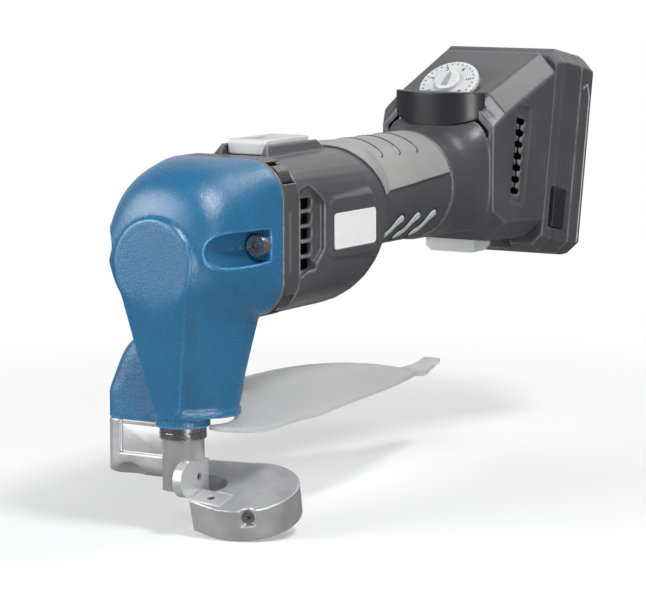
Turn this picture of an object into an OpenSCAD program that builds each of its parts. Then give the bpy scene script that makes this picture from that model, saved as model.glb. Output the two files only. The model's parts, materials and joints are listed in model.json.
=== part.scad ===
// Cordless sheet-metal shear: gear head with ram and blades, motor barrel, grip, rear housing, slide-on pack.
// Built about the ram axis (X 0, Y 0) with the motor axis at Z 0; the cutting head faces -Y.

/* [Cutting head] */
// Radius of the ram
ram_r = 8.4; // [8:0.1:10.5]
// Full stroke of the ram
stroke = 4; // [2:0.5:5]
// Height of the ram's lower end below the motor axis
ram_drop = 103; // [98:1:110]
// Distance of the head's front face ahead of the ram axis
head_front = 21; // [20:0.5:24]
// Distance of the head's flange behind the ram axis
flange_y = 25; // [23:0.5:30]
// Radius of the round front panel of the head
panel_r = 18.8; // [18.5:0.1:21]
// Wall of the neck round the guide bush
neck_wall = 1.3; // [1.2:0.1:3]
// Height of the neck's lower face below the motor axis
neck_drop = 78; // [74:1:82]
// Radius of the neck's foot behind the ram
skirt_r = 13; // [11:0.5:15]

/* [Blades and arm] */
// Sideways place of the shear plane from the ram axis
shear_x = 7.8; // [7:0.1:8.5]
// Gap between the two blades
blade_gap = 0.3; // [0.2:0.1:0.6]
// Length of the upper blade
upper_len = 20; // [18:0.5:24]
// Height of the upper blade
upper_h = 13.3; // [12:0.1:15]
// Thickness of the upper blade
upper_t = 4; // [3:0.1:5]
// Length of the lower blade along the cut
lower_len = 10; // [9:0.5:13]
// Width of the lower blade
lower_w = 14.6; // [12:0.1:16]
// Thickness of the lower blade
lower_t = 4; // [3:0.1:5]
// Radius of the arm's table
table_r = 21; // [19:0.5:23]
// Thickness of the arm's table
table_t = 13; // [11:0.5:14]
// Slope of the table, down to the front
table_tilt = 16; // [10:1:20]
// Roll of the table, down to the left
table_roll = 4; // [0:1:8]
// Centre of the table, sideways from the ram axis
table_x = 23.5; // [22:0.5:26]
// Centre of the table, behind the ram axis
table_y = 9; // [8:0.5:12]
// Height of the table's centre below the motor axis
table_drop = 101.5; // [100:0.5:104]

/* [Drive] */
// Teeth on the drive gear
gear_teeth = 40; // [36:1:44]
// Teeth on the motor pinion
pinion_teeth = 10; // [9:1:12]
// Gear module
gear_module = 0.5; // [0.45:0.01:0.55]
// Face width of the drive gear
gear_w = 6; // [4:0.5:7]
// Radius of the eccentric roller
roller_r = 6; // [5.5:0.1:6.5]
// Outer radius of the motor's stator
stator_r = 17; // [15:0.5:17.5]
// Length of the stator
stator_len = 30; // [24:1:34]

/* [Barrel and grip] */
// Width of the motor housing
barrel_w = 62; // [58:1:68]
// Height of the motor housing
barrel_h = 61; // [56:1:68]
// Radius of the grip
grip_r = 23; // [21:0.5:25]
// Where the grip's round stretch starts
grip_y = 120; // [112:1:126]
// Where the rear housing starts
rear_y = 176; // [170:1:184]
// Wall of the moulded shells
wall = 2.6; // [2:0.1:3]
// Travel of the slide switch
switch_travel = 6; // [4:0.5:8]

/* [Rear and pack] */
// Width of the rear housing and the pack
pack_w = 66; // [64:1:74]
// Height of the pack
pack_h = 92.5; // [88:0.5:100]
// Thickness of the pack
pack_t = 38; // [34:1:42]
// Lean of the pack, top to the rear
pack_lean = 10; // [6:1:12]
// Place of the pack's front face on the motor axis
pack_y = 252.5; // [246:0.5:262]
// Radius of the speed dial
dial_r = 14; // [12:0.5:16]
// Radius of a battery cell
cell_r = 9.2; // [9:0.1:9.4]

/* [Hidden] */
$fn = 64;
running = 0.05;
seat = 0.02;
clearance = 0.3;
eps = 0.01;
oval_points = 48;

// Vertical places in the head
ecc = stroke / 2;
centre_distance = (gear_teeth + pinion_teeth) * gear_module / 2;
shaft_z = -centre_distance;
bush_wall = 1.1;
bush_r = ram_r + bush_wall;
neck_r = bush_r + neck_wall;
skirt_drop = 72;
skirt_lip = 1;
skirt_x = 5.5;
skirt_y = 8;
bush_top = -42;
ring_h = 4.5;
ring_wall = 0.9;
ring_groove = 0.5;
window_w = 2 * (roller_r + ecc + clearance);
window_h = 2 * (roller_r + stroke + clearance);
yoke_wall = 3;
yoke_t = 9;
yoke_r = sqrt(window_w * window_w + window_h * window_h) / 2 + 1.3;
gear_reach = centre_distance + (pinion_teeth / 2 + 1) * gear_module;
gear_cavity_r = max(yoke_r + ecc + 0.5, gear_reach + 1.5);
yoke_drop = 16;
front_bearing_y = -head_front + 4.5;
bearing_w = 5;
shaft_r = 4;
front_bearing_r = 8;
rear_bearing_r = 6;
motor_bearing_r = 5.5;
motor_shaft_r = 2;
gear_y = 13.5;
rotor_r = 9.5;
fan_r = 16.5;
dome_y = 10;
dome_steps = 7;
dome_rise = 0.8;
panel_rim = 0.5;
panel_foot_r = 7;

// The dark ring behind the head and the barrel behind it
ring_y = 37;
barrel_z = -6.7;
flange_w = barrel_w;
flange_h = barrel_h + 2;
flange_z = barrel_z + 0.7;
corner_r = 16;
dome_start = 76;
dome_turn = 75;
dome_step = 0.1;
grip_lap = 3;
grip_z = 2;
fan_y = ring_y + 4;
stator_y = fan_y + 12;
motor_end_y = stator_y + stator_len + 6;
flange_screw_in = 7.5;
flange_screw_x = flange_w / 2 - flange_screw_in;
flange_screw_top = flange_z + flange_h / 2 - flange_screw_in;
flange_screw_low = flange_z - flange_h / 2 + flange_screw_in;
corner_head_r = 4.6;
corner_floor = 1.5;
corner_grip = 4.5;
side_screw_x = flange_w / 2 - 4.5;
side_screw_y = 16.5;
side_screw_z = -7;
pocket_r = 6.6;
pocket_depth = 2.6;
screw_r = 2.5;
screw_head_r = 4.25;
screw_head_h = 5;

// The arm
post_x0 = -37.2;
post_x1 = -ram_r - 1;
post_y0 = 0;
post_y1 = 24;
post_bottom = -100.5;
post_h = -neck_drop - post_bottom;
peg_r = 7;
peg_x = (post_x0 + post_x1) / 2;
peg_y = (post_y0 + post_y1) / 2;
peg_top = -56;
lug_r = 5;
lug_top = -46;
post_r = 5;
bar_h = 9;
face_in = 7;
face_depth = 1.2;
dish_r = 9.5;
dish_x = 11.6;
dish_out = 3.5;
web_y = ram_r + 3.5;
web_t = 3.5;
web_foot_r = 5;
web_end_r = 8;
blade_seat = 91;
blade_screw_z = -97.7;
blade_screw_r = 1.6;
blade_hole_x = 15.5;
lower_front = -9;
lower_inset = 0.3;
set_screw_r = 2.5;
set_screw_turn = 33;
set_screw_depth = 3.8;
groove_r = 3;
scoop_r = 6;
scoop_x = shear_x + 1.5;
scoop_y = web_y - scoop_r + 0.4;

// The guard
guard_t = 2;
guard_ridge = -66.3;
guard_arch_r = 36;
guard_bow_r = 513;
guard_peak_y = 70;
guard_half_w = 28;
guard_front = -3;
guard_end = 201;
guard_flatten = 0.4;
curl_r = 50;
curl_y = 172;
guard_wide_end = 55;
guard_steps = 40;
guard_corner_r = 9;
guard_tip_w = 2.5;
guard_screw_r = 1.5;
bracket_y = skirt_y + 6.5;
bracket_len = 22;
bracket_z = -71.3;

// Rear housing and pack, measured in the leaning frame of the pack
pack_low = -32.5;
pack_top = pack_low + pack_h;
split_t = 22;
rail_w = 40;
rail_neck = 28;
rail_out = 6.5;
rail_lip = 3;
cell_len = 65;
cell_y = rail_out + 1.8 + cell_r + clearance;
cell_low = pack_low + 10;
cell_pitch = 2 * cell_r + 0.6;
button_z = -12;
button_y = 9;
button_len = 12;
button_h = 18;
button_t = 2.5;
floor_t = 1.8;
pack_wall = 2.6;
pack_corner = 6;
cover_bevel = 3.5;
panel_depth = 0.5;
rail_low = -16;
rail_len = 58;
contact_len = 8;
rear_gap = 4;
rear_w = 62;
rear_h = 84;
rear_mid = 15;
block_y = 205;
block_h = 66;
block_z = 8;
block_bevel = 9;
flare_y = 188;
flare_steps = 7;
visor_front = 197;
visor_r = 29;
visor_w = 45;
visor_t = 12;
visor_z = 30.5;
visor_h = 11;
visor_dip = 4;
visor_bow_r = (visor_w * visor_w / 4 + visor_dip * visor_dip) / (2 * visor_dip);
vent_count = 7;
vent_pitch = 5.2;
vent_top = 23;
vent_y = -30;
foot_y = 217;
board_w = 54;
board_y = 211;
board_len = 29;
board_z = -12;
dial_y = 217;
dial_z = 42.5;
dial_tilt = 40;
dial_room = 0.6;
dial_seat = 6;
stem_r = 3;
knob_r = 6;
knob_h = 2;
dial_t = 3;
field_rise = 0.6;
label_t = 0.9;
label_proud = 0.1;
label_y = 63;
label_len = 33;
label_z = -13.4;
label_h = 14.6;
switch_y = 47;
switch_len = 33;
switch_w = 18;
switch_h = 6;
switch_z = barrel_z + barrel_h / 2 + 0.6;
thumb_r = 40;
stem_w = 6;
stem_len = 12;
rod_z = switch_z - 5.7;
module_y = 128;
module_w = 14;
module_h = 13;
soft_y = 112;
soft_rake = 38;
soft_t = 1;
soft_low = 5;
soft_gap = 0.6;

// The whole object's box, which places the origin at the middle of its underside
table_nx = cos(table_tilt) * sin(table_roll);
table_nz = cos(table_tilt) * cos(table_roll);
rear_end = pack_y + pack_t * cos(pack_lean) + (pack_top - cover_bevel) * sin(pack_lean);
mid_x = (table_x + table_r * sqrt(1 - table_nx * table_nx) + post_x0) / 2;
mid_y = (rear_end - head_front) / 2;
base_z = -table_drop - table_t * table_nz - table_r * sqrt(1 - table_nz * table_nz);

// Moves the model from the ram axis to the middle of its own underside
module placed() {
    translate([-mid_x, -mid_y, -base_z]) children();
}

// Extrudes a front view, drawn in X and Z, backwards from y0
module along_y(y0, len) {
    translate([0, y0 + len, 0]) rotate([90, 0, 0]) linear_extrude(len) children();
}

// Extrudes a side view, drawn in Y and Z, to both sides of X 0
module across_x(w) {
    rotate([90, 0, 90]) linear_extrude(w, center = true) children();
}

module rod_y(r, y0, len, x = 0, z = 0) {
    translate([x, y0, z]) rotate([-90, 0, 0]) cylinder(r = r, h = len);
}

module tube_y(r_out, r_in, y0, len, x = 0, z = 0) {
    difference() {
        rod_y(r_out, y0, len, x, z);
        rod_y(r_in, y0 - 1, len + 2, x, z);
    }
}

module rounded_rect(w, h, r) {
    square([w - 2 * r, h], center = true);
    square([w, h - 2 * r], center = true);
    for (x = [-1, 1], z = [-1, 1]) translate([x * (w / 2 - r), z * (h / 2 - r)]) circle(r);
}

// Rectangle with its four corners cut off at 45 degrees
module chamfered_rect(w, h, c) {
    polygon([[-w / 2 + c, -h / 2], [w / 2 - c, -h / 2], [w / 2, -h / 2 + c], [w / 2, h / 2 - c],
        [w / 2 - c, h / 2], [-w / 2 + c, h / 2], [-w / 2, h / 2 - c], [-w / 2, -h / 2 + c]]);
}

// Thin slice of a chamfered section, for lofting
module bevel_section(y, w, h, c, z, t = 1) {
    along_y(y, t) translate([0, z]) chamfered_rect(w, h, c);
}

// Thin slice of a rounded rectangular section, for lofting
module section(y, w, h, r, z, t = 1) {
    along_y(y, t) translate([0, z]) rounded_rect(w, h, r, $fn = 32);
}

// Points round an oval of power p: 2 is an ellipse, more is squarer
function oval(y, w, h, z, p) = [for (i = [0 : oval_points - 1])
    let (a = 360 * i / oval_points, c = cos(a), s = sin(a))
    [w / 2 * sign(c) * pow(abs(c), 2 / p), y, z + h / 2 * sign(s) * pow(abs(s), 2 / p)]];

// Closed skin through rows of points, each row running round from +X over +Z, rows going to +Y
module loft(rows) {
    n = len(rows[0]);
    last = (len(rows) - 1) * n;
    skin = [for (j = [0 : n : last - n], i = [0 : n - 1], k = [0, 1])
        let (i1 = (i + 1) % n) k == 0 ? [j + i, j + i1, j + n + i1] : [j + i, j + n + i1, j + n + i]];
    front = [for (i = [n - 1 : -1 : 0]) i];
    back = [for (i = [0 : n - 1]) last + i];
    polyhedron([for (row = rows, p = row) p], concat([front], [back], skin));
}

module in_pack() {
    translate([0, pack_y, 0]) rotate([-pack_lean, 0, 0]) children();
}

// Socket-head screw along -Y, with its head's seat at the origin
module cap_screw(r, head_r, head_h, len) {
    difference() {
        union() {
            rod_y(head_r, -head_h, head_h);
            rod_y(r, -eps, len);
        }
        along_y(-head_h - 1, head_h * 0.55 + 1) circle(head_r * 0.55, $fn = 6);
    }
}

module half_space(side) {
    translate([side * 200, 150, 0]) cube([400, 900, 600], center = true);
}

// The cutting head

// Rounded gear case that closes on the front panel, the neck round the ram, and the lug for the arm
module head_form() {
    hull() {
        section(flange_y - 5, flange_w, flange_h, corner_r, flange_z, 5);
        for (i = [0 : dome_steps]) head_slice(90 * i / dome_steps);
    }
    hull() {
        rod_y(panel_r, -head_front + 2, 14, 0, shaft_z, $fn = 48);
        section(flange_y - 6, flange_w - 18, 30, 12, flange_z - flange_h / 2 + 15, 6);
        skirt_slice(-skirt_drop, 2, 0);
    }
    hull() skirt_slice(-skirt_drop - 2, 3, skirt_lip);
    translate([0, 0, -neck_drop]) cylinder(r = neck_r, h = neck_drop - skirt_drop);
    hull() {
        lug_slice(-neck_drop, 12, 0);
        lug_slice(lug_top - 12, 1, 3);
        lug_slice(lug_top - 4, 1, 7);
        lug_slice(lug_top + 2, 1, 14);
    }
}

// Slice of the gear case, from the flange's size at 0 degrees to the front panel's at 90
module head_slice(turn) {
    k = cos(turn);
    tip = 2 * (panel_r + panel_rim);
    w = tip + (flange_w - 2 - tip) * k;
    h = tip + (flange_h - tip) * k;
    y = dome_y - (dome_y + head_front - 3) * sin(turn);
    section(y, w, h, min(w, h) / 2 - 0.2 - 4 * k, shaft_z + (flange_z + dome_rise - shaft_z) * k);
}

// Foot of the neck: round under the front panel, wider to the rear and left
module skirt_slice(z, h, grow) {
    translate([0, 0, z]) cylinder(r = neck_r + grow, h = h, $fn = 48);
    translate([skirt_x, skirt_y, z]) cylinder(r = skirt_r + grow, h = h, $fn = 48);
}

// Rounded block above the arm's post, drawn in from the right by inset
module lug_slice(z, h, inset) {
    for (y = [post_y0 + lug_r, post_y1 - lug_r]) {
        translate([post_x0 + lug_r + inset, y, z]) cylinder(r = lug_r, h = h, $fn = 32);
        translate([-lug_r, y, z]) cylinder(r = lug_r, h = h, $fn = 32);
    }
}

// Raised teardrop panel on the front face
module front_panel() {
    hull() {
        rod_y(panel_r - 1.2, -head_front, 6, 0, shaft_z, $fn = 48);
        rod_y(panel_foot_r, -neck_r - 1, 5, 0, panel_foot_r - skirt_drop - 2, $fn = 32);
    }
}

module head_cavities() {
    rod_y(gear_cavity_r, -8, flange_y + 9, 0, shaft_z);
    rod_y(front_bearing_r + seat, front_bearing_y, 20, 0, shaft_z);
    translate([0, 0, -neck_drop - 5]) cylinder(r = bush_r + seat, h = neck_drop + 5 + bush_top);
    translate([0, 0, bush_top - 1]) cylinder(r = ram_r + 0.6, h = 30);
    translate([peg_x, peg_y, -neck_drop - 5]) cylinder(r = peg_r + seat, h = peg_top + neck_drop + 5);
    guard_bracket_block(seat);
}

// Scoop in each side that lets a key reach the front of the upper head screws
module screw_pocket(side) {
    side_screw_at(side) rod_y(pocket_r, -60, 60, side * 1.5, 0);
}

module side_screw_at(side) {
    translate([side * side_screw_x, side_screw_y, side_screw_z]) children();
}

module arm_screw_at() {
    for (z = [-63, -72]) translate([peg_x, post_y1 - 4, z]) rotate([0, 0, 180]) children();
}

module head_housing() {
    color("steelblue") difference() {
        union() {
            head_form();
            front_panel();
        }
        head_cavities();
        for (side = [-1, 1]) {
            screw_pocket(side);
            side_screw_at(side) rod_y(screw_r + seat, -1, 30);
        }
        arm_screw_at() {
            rod_y(screw_head_r + clearance, -20, 20);
            rod_y(screw_r + seat, -1, 12);
        }
        at_corners() rod_y(screw_r + seat, -corner_grip - seat, corner_grip + 1);
    }
}

module head_screws() {
    color("dimgray") for (side = [-1, 1])
        side_screw_at(side) cap_screw(screw_r, screw_head_r, screw_head_h, 18);
}

// The four corners where the dark ring is screwed to the head
module at_corners() {
    for (x = [-1, 1], z = [flange_screw_top, flange_screw_low])
        translate([x * flange_screw_x, flange_y, z]) children();
}

module corner_screws() {
    color("black") at_corners() {
        rod_y(screw_r, -corner_grip, corner_grip + corner_floor);
        difference() {
            rod_y(corner_head_r, corner_floor, 8);
            along_y(corner_floor + 4, 5) circle(2.4, $fn = 6);
        }
    }
}

module ram() {
    color("silver") difference() {
        union() {
            translate([0, 0, -ram_drop]) cylinder(r = ram_r, h = ram_drop + shaft_z - yoke_drop);
            intersection() {
                rod_y(yoke_r, -yoke_t / 2, yoke_t, 0, shaft_z);
                translate([0, 0, shaft_z])
                    cube([window_w + 2 * yoke_wall, yoke_t + 2, 4 * yoke_r], center = true);
            }
            translate([-ram_r / 2 - 2, -yoke_t / 2, shaft_z - yoke_drop - 3]) cube([ram_r + 4, yoke_t, 7]);
        }
        translate([0, 0, shaft_z]) cube([window_w, 40, window_h], center = true);
        translate([shear_x - upper_t, -20, -ram_drop - 1]) cube([20, 40, ram_drop - blade_seat + 1]);
        translate([0, 0, blade_screw_z]) rotate([0, 90, 0]) cylinder(r = blade_screw_r + seat, h = 20);
        rotate([0, 0, 200]) translate([ram_r - 1.2, -10, -ram_drop - 1]) cube([5, 20, 16]);
    }
}

module guide_bush() {
    color("goldenrod") difference() {
        translate([0, 0, -neck_drop]) cylinder(r = bush_r, h = neck_drop + bush_top);
        translate([0, 0, -neck_drop - 1]) cylinder(r = ram_r + running, h = neck_drop);
    }
}

module scraper_ring() {
    color("lightgray") difference() {
        translate([0, 0, -neck_drop - ring_h]) cylinder(r = ram_r + ring_wall, h = ring_h);
        translate([0, 0, -neck_drop - ring_h - 1]) cylinder(r = ram_r + running, h = ring_h + 2);
        translate([0, 0, -neck_drop - ring_h / 2]) rotate_extrude()
            translate([ram_r + ring_wall - ring_groove, 0]) square([1, ring_groove]);
    }
}

// Upper blade: rounded nose, straight back, lower edge that slopes up to the front
module upper_blade() {
    color("gainsboro") difference() {
        translate([shear_x - upper_t / 2, -13.5, -blade_seat - upper_h])
            across_x(upper_t) difference() {
            union() {
                translate([upper_len - 13, 0]) square([13, upper_h]);
                translate([7, 6.3]) circle(7);
                translate([5, 0.6]) square([10, 6]);
            }
            translate([0, upper_h]) square([30, 5]);
            rotate(-6) translate([0, -4.2]) square([30, 4.4]);
        }
        translate([-5, 0, blade_screw_z]) rotate([0, 90, 0]) cylinder(r = blade_screw_r + seat, h = 20);
    }
}

module upper_blade_screw() {
    color("dimgray") difference() {
        translate([0.5, 0, blade_screw_z]) rotate([0, 90, 0]) cylinder(r = blade_screw_r, h = shear_x - 1.7);
        translate([shear_x - 2.6, 0, blade_screw_z]) rotate([0, 90, 0]) cylinder(r = 0.9, h = 3, $fn = 6);
    }
}

// The arm and lower blade

module on_table() {
    translate([table_x, table_y, -table_drop]) rotate([table_tilt, table_roll, 0]) children();
}

// Post under the lug: round outer edges and a rounded bar along its foot
module arm_post() {
    w = post_x1 - post_x0 + 2 * post_r;
    d = post_y1 - post_y0;
    h = post_h + 2 * post_r;
    mid_post = post_x0 + w / 2;
    difference() {
        intersection() {
            translate([post_x0, post_y0, post_bottom]) cube([post_x1 - post_x0, d, post_h]);
            translate([mid_post, peg_y, post_bottom]) linear_extrude(post_h) rounded_rect(w, d, post_r);
            translate([peg_x, peg_y, post_bottom + h / 2]) across_x(2 * w) rounded_rect(d, h, post_r);
            along_y(post_y0, d) translate([mid_post, post_bottom + h / 2]) rounded_rect(w, h, post_r);
        }
        translate([post_x0 + face_in, post_y0 - 1, post_bottom + bar_h])
            cube([post_x1 - post_x0, 1 + face_depth, post_h]);
        translate([post_x0 + dish_x, post_y0 - dish_out, post_bottom - dish_out]) sphere(dish_r);
    }
}

// The table's front corner under the lower blade, drawn out from the round at a tangent
module blade_pad() {
    corner = [shear_x + blade_gap - table_x, lower_front - lower_inset - table_y];
    turn = atan2(corner[1], corner[0]) + acos(min(1, table_r / norm(corner)));
    polygon([[0, 0], [corner[0], 0], corner, table_r * [cos(turn), sin(turn)]]);
}

// Round table, and the web that joins it to the post's foot behind the ram
module arm_table() {
    difference() {
        union() {
            on_table() translate([0, 0, -table_t]) cylinder(r = table_r, h = table_t);
            on_table() translate([0, 0, -table_t]) linear_extrude(table_t) blade_pad();
            on_table() hull() {
                translate([post_x1 - table_x - 3, web_y + web_foot_r - table_y, -web_t])
                    cylinder(r = web_foot_r, h = web_t, $fn = 32);
                translate([-4, table_r - web_end_r - 1, -table_t])
                    cylinder(r = web_end_r, h = table_t, $fn = 32);
            }
        }
        translate([shear_x + blade_gap - 60, -40, -140]) cube([60, 40 + web_y, 60]);
    }
}

// One steel forging: peg and post in the lug, a web that crosses behind the ram, and the table
module lower_arm() {
    color("silver") difference() {
        union() {
            arm_table();
            arm_post();
            translate([peg_x, peg_y, -neck_drop - 2]) cylinder(r = peg_r, h = peg_top + neck_drop + 1.5);
        }
        translate([0, 0, post_bottom - 1]) cylinder(r = ram_r + 1, h = 40);
        translate([0, 0, -neck_drop - ring_h - clearance]) cylinder(r = bush_r + clearance, h = 40);
        lower_blade_block(seat);
        blade_hole_at() cylinder(r = blade_screw_r + seat, h = 40, center = true);
        set_screw_at() rod_y(set_screw_r + seat, -table_r - 1, 9);
        set_screw_at() translate([0, -table_r - 0.4, -groove_r]) cylinder(r = groove_r, h = 20);
        translate([scoop_x, scoop_y, base_z - 1]) cylinder(r = scoop_r, h = 30);
        arm_screw_at() rod_y(screw_r + seat, -1, 12);
    }
}

module set_screw_at() {
    on_table() rotate([0, 0, set_screw_turn]) translate([0, 0, -set_screw_depth]) children();
}

// Axis of the lower blade's screw, with the table's face at its origin
module blade_hole_at() {
    on_table() translate([blade_hole_x - table_x, lower_front + lower_len / 2 - table_y, 0]) children();
}

// The lower blade lies in a seat along the table's edge at the shear plane
module lower_blade_block(grow = 0) {
    difference() {
        on_table()
            translate([shear_x + blade_gap - table_x - 1, lower_front - table_y - grow, -lower_t - grow])
            cube([lower_w + 1 + grow, lower_len + 2 * grow, lower_t + 30 * grow]);
        translate([shear_x + blade_gap - 20, -40, -140]) cube([20, 80, 100]);
    }
}

module lower_blade() {
    color("gainsboro") difference() {
        lower_blade_block();
        blade_hole_at() cylinder(r = blade_screw_r + seat, h = 40, center = true);
    }
}

module lower_blade_screw() {
    color("dimgray") blade_hole_at() difference() {
        translate([0, 0, -10]) cylinder(r = blade_screw_r, h = 9);
        translate([0, 0, -2.2]) cylinder(r = 0.9, h = 3, $fn = 6);
    }
}

module arm_set_screw() {
    color("dimgray") set_screw_at() difference() {
        rod_y(set_screw_r, -table_r + 2, 5);
        along_y(-table_r + 1, 3) circle(1.25, $fn = 6);
    }
}

module arm_screws() {
    color("dimgray") arm_screw_at() cap_screw(screw_r, screw_head_r, screw_head_h, 9);
}

// Clear guard under the barrel: a shallow arch that narrows to a tongue at the rear

module guard_outline() {
    difference() {
        hull() {
            translate([-40, post_y1]) square([10, guard_end]);
            translate([0, guard_front - 1]) square(guard_corner_r);
            translate([guard_half_w - guard_corner_r, guard_front + guard_corner_r]) circle(guard_corner_r);
            translate([30, post_y1]) square([10, guard_end]);
        }
        guard_notch();
        translate([post_x0 - 5, -40]) square([-post_x0 + 5, 40 + post_y1 + 3.5]);
    }
}

// Where the sheet stands clear of the neck's foot
module guard_notch() {
    circle(neck_r + skirt_lip + clearance);
    translate([skirt_x, skirt_y]) circle(skirt_r + skirt_lip + clearance);
}

// Height of the guard's ridge: highest over the motor, falling to the rear, lifted at the tip
function ridge_z(y) = guard_ridge - pow(y - guard_peak_y, 2) / (2 * guard_bow_r)
    + pow(max(y - curl_y, 0), 2) / (2 * curl_r);

// Radius of the arch across the sheet, flatter towards the front
function arch_r(y) = guard_arch_r + guard_flatten * max(guard_wide_end - y, 0);

// Half the guard's width, which narrows to a tongue
function half_w(y) = guard_half_w
    - (guard_half_w - guard_tip_w) * pow(max(y - guard_wide_end, 0) / (guard_end - guard_wide_end), 1.15);

// Row of points across the sheet, along the top and back along the underside
function guard_row(y, n) = [for (i = [0 : 2 * n + 1])
    let (c = i <= n ? 2 * i / n - 1 : 2 * (2 * n + 1 - i) / n - 1, x = -c * half_w(y))
    [x, y, ridge_z(y) - x * x / (2 * arch_r(y)) - (i <= n ? 0 : guard_t)]];

module guard_sheet() {
    step = (guard_end - guard_front) / guard_steps;
    loft([for (i = [0 : guard_steps]) guard_row(guard_front + step * i, 12)]);
}

module hand_guard() {
    color("whitesmoke") difference() {
        intersection() {
            translate([0, 0, guard_ridge - 40]) linear_extrude(60) guard_outline();
            guard_sheet();
        }
        guard_screw_at() cylinder(r = guard_screw_r + seat, h = 20, center = true);
    }
}

module guard_bracket_block(grow = 0) {
    translate([-8 - grow, bracket_y, bracket_z - 2 - grow])
        cube([16 + 2 * grow, bracket_len + grow, 2 + 2 * grow]);
}

module guard_bracket() {
    color("silver") difference() {
        guard_bracket_block();
        guard_screw_at() cylinder(r = guard_screw_r + seat, h = 20, center = true);
    }
}

module guard_screw_at() {
    for (x = [-4.5, 4.5]) translate([x, bracket_y + bracket_len - 4, bracket_z]) children();
}

module guard_screws() {
    color("dimgray") guard_screw_at() {
        translate([0, 0, -4]) cylinder(r = guard_screw_r, h = 7.5);
        translate([0, 0, -4]) cylinder(r = 3, h = 2);
    }
}

// The drive

function tooth_points(n, m, backlash) = [
    for (i = [0 : n - 1], c = [[-0.5, -1.15], [-0.42, -1.15], [-0.24, 0], [-0.1, 0.92], [0.1, 0.92],
        [0.24, 0], [0.42, -1.15]])
        let (rad = n * m / 2 + c[1] * m, ang = (i + c[0] * (abs(c[0]) < 0.4 ? 1 - backlash : 1)) * 360 / n)
        [rad * sin(ang), rad * cos(ang)]
];

module drive_gear() {
    color("darkgray") translate([0, 0, shaft_z]) difference() {
        along_y(gear_y, gear_w) polygon(tooth_points(gear_teeth, gear_module, 0.2));
        rod_y(shaft_r + seat, gear_y - 1, gear_w + 2);
        for (a = [0 : 60 : 300]) rotate([0, a, 0]) rod_y(1.6, gear_y - 1, gear_w + 2, 6.6, 0);
    }
}

module motor_shaft() {
    color("lightgray") {
        rotate([0, 180 / pinion_teeth, 0]) along_y(gear_y - 0.5, gear_w + 1)
            polygon(tooth_points(pinion_teeth, gear_module, 0.2));
        rod_y(1.6, gear_y + gear_w, ring_y - 5 - gear_y - gear_w);
        rod_y(motor_shaft_r, ring_y - 5, motor_end_y + 10 - ring_y);
    }
}

module eccentric_shaft() {
    color("silver") translate([0, 0, shaft_z]) {
        rod_y(shaft_r, front_bearing_y, -front_bearing_y - yoke_t / 2 - 0.5);
        rod_y(shaft_r - 0.6, -yoke_t / 2 - 1, yoke_t + 2, 0, -ecc);
        rod_y(shaft_r, yoke_t / 2 + 0.5, flange_y + 1 + bearing_w - yoke_t / 2 - 0.5);
    }
}

module eccentric_roller() {
    color("silver") translate([0, 0, shaft_z - ecc]) tube_y(roller_r, shaft_r - 0.6, -yoke_t / 2, yoke_t);
}

module front_bearing() {
    color("lightgray") tube_y(front_bearing_r, shaft_r + running, front_bearing_y, bearing_w, 0, shaft_z);
}

module rear_bearing() {
    color("lightgray") tube_y(rear_bearing_r, shaft_r + running, flange_y + 1, bearing_w, 0, shaft_z);
}

module motor_bearings() {
    color("lightgray") for (y = [ring_y - 5, motor_end_y])
        tube_y(motor_bearing_r, motor_shaft_r + running, y, 5);
}

module gear_plate() {
    color("dimgray") difference() {
        section(flange_y, flange_w, flange_h, corner_r, flange_z, ring_y - flange_y, $fn = 64);
        rod_y(rear_bearing_r + seat, flange_y - 1, bearing_w + 2, 0, shaft_z);
        rod_y(motor_bearing_r + seat, ring_y - 5, 6);
        rod_y(3.2, flange_y - 1, 20);
        for (side = [-1, 1]) {
            side_screw_at(side) rod_y(screw_r + seat, -1, 20);
            translate([side * (flange_w / 2 + 1), flange_y + 5, side_screw_z])
                cube([4, 1.2, 26], center = true);
        }
        at_corners() {
            rod_y(corner_head_r + 1.6, corner_floor, 20);
            rod_y(screw_r + seat, -1, 10);
        }
    }
}

module rotor() {
    color("gray") difference() {
        rod_y(rotor_r, stator_y, stator_len);
        rod_y(motor_shaft_r, stator_y - 1, stator_len + 2);
    }
}

module stator() {
    color("peru") difference() {
        rod_y(stator_r, stator_y, stator_len);
        rod_y(rotor_r + 0.5, stator_y - 1, stator_len + 2);
        for (a = [0 : 60 : 300]) rotate([0, a, 0])
            translate([rotor_r, stator_y - 1, -2]) cube([4, stator_len + 2, 4]);
    }
}

module motor_fan() {
    color("black") difference() {
        union() {
            rod_y(6, fan_y, 8);
            rod_y(fan_r, fan_y + 6.5, 1.5);
            for (a = [0 : 30 : 330])
                rotate([0, a, 0]) translate([5, fan_y, -0.6]) cube([fan_r - 5.5, 7, 1.2]);
        }
        rod_y(motor_shaft_r, fan_y - 1, 20);
    }
}

// The moulded barrel, made as a left and a right half

module barrel_form(inset) {
    hull() {
        section(ring_y, barrel_w - 2 * inset, barrel_h - 2 * inset, corner_r - inset, barrel_z);
        for (i = [0 : dome_steps]) barrel_slice(dome_turn * i / dome_steps, inset);
    }
    rod_y(grip_r - inset, grip_y - grip_lap, rear_y - grip_y + grip_lap, 0, grip_z);
}

// Slice of the barrel's rounded rear end, from its full size at 0 degrees to the grip's at dome_turn
module barrel_slice(turn, inset) {
    k = (cos(turn) - cos(dome_turn)) / (1 - cos(dome_turn));
    w = 2 * (grip_r - inset) + (barrel_w - 1 - 2 * grip_r) * k - dome_step;
    h = 2 * (grip_r - inset) + (barrel_h + 2 - 2 * grip_r) * k - dome_step;
    r = grip_r - inset + (corner_r + 4 - grip_r) * k;
    y = dome_start + (grip_y - dome_start) * sin(turn) / sin(dome_turn);
    section(y, w, h, min(r, min(w, h) / 2 - 0.05), grip_z + (barrel_z - grip_z) * k);
}

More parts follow.
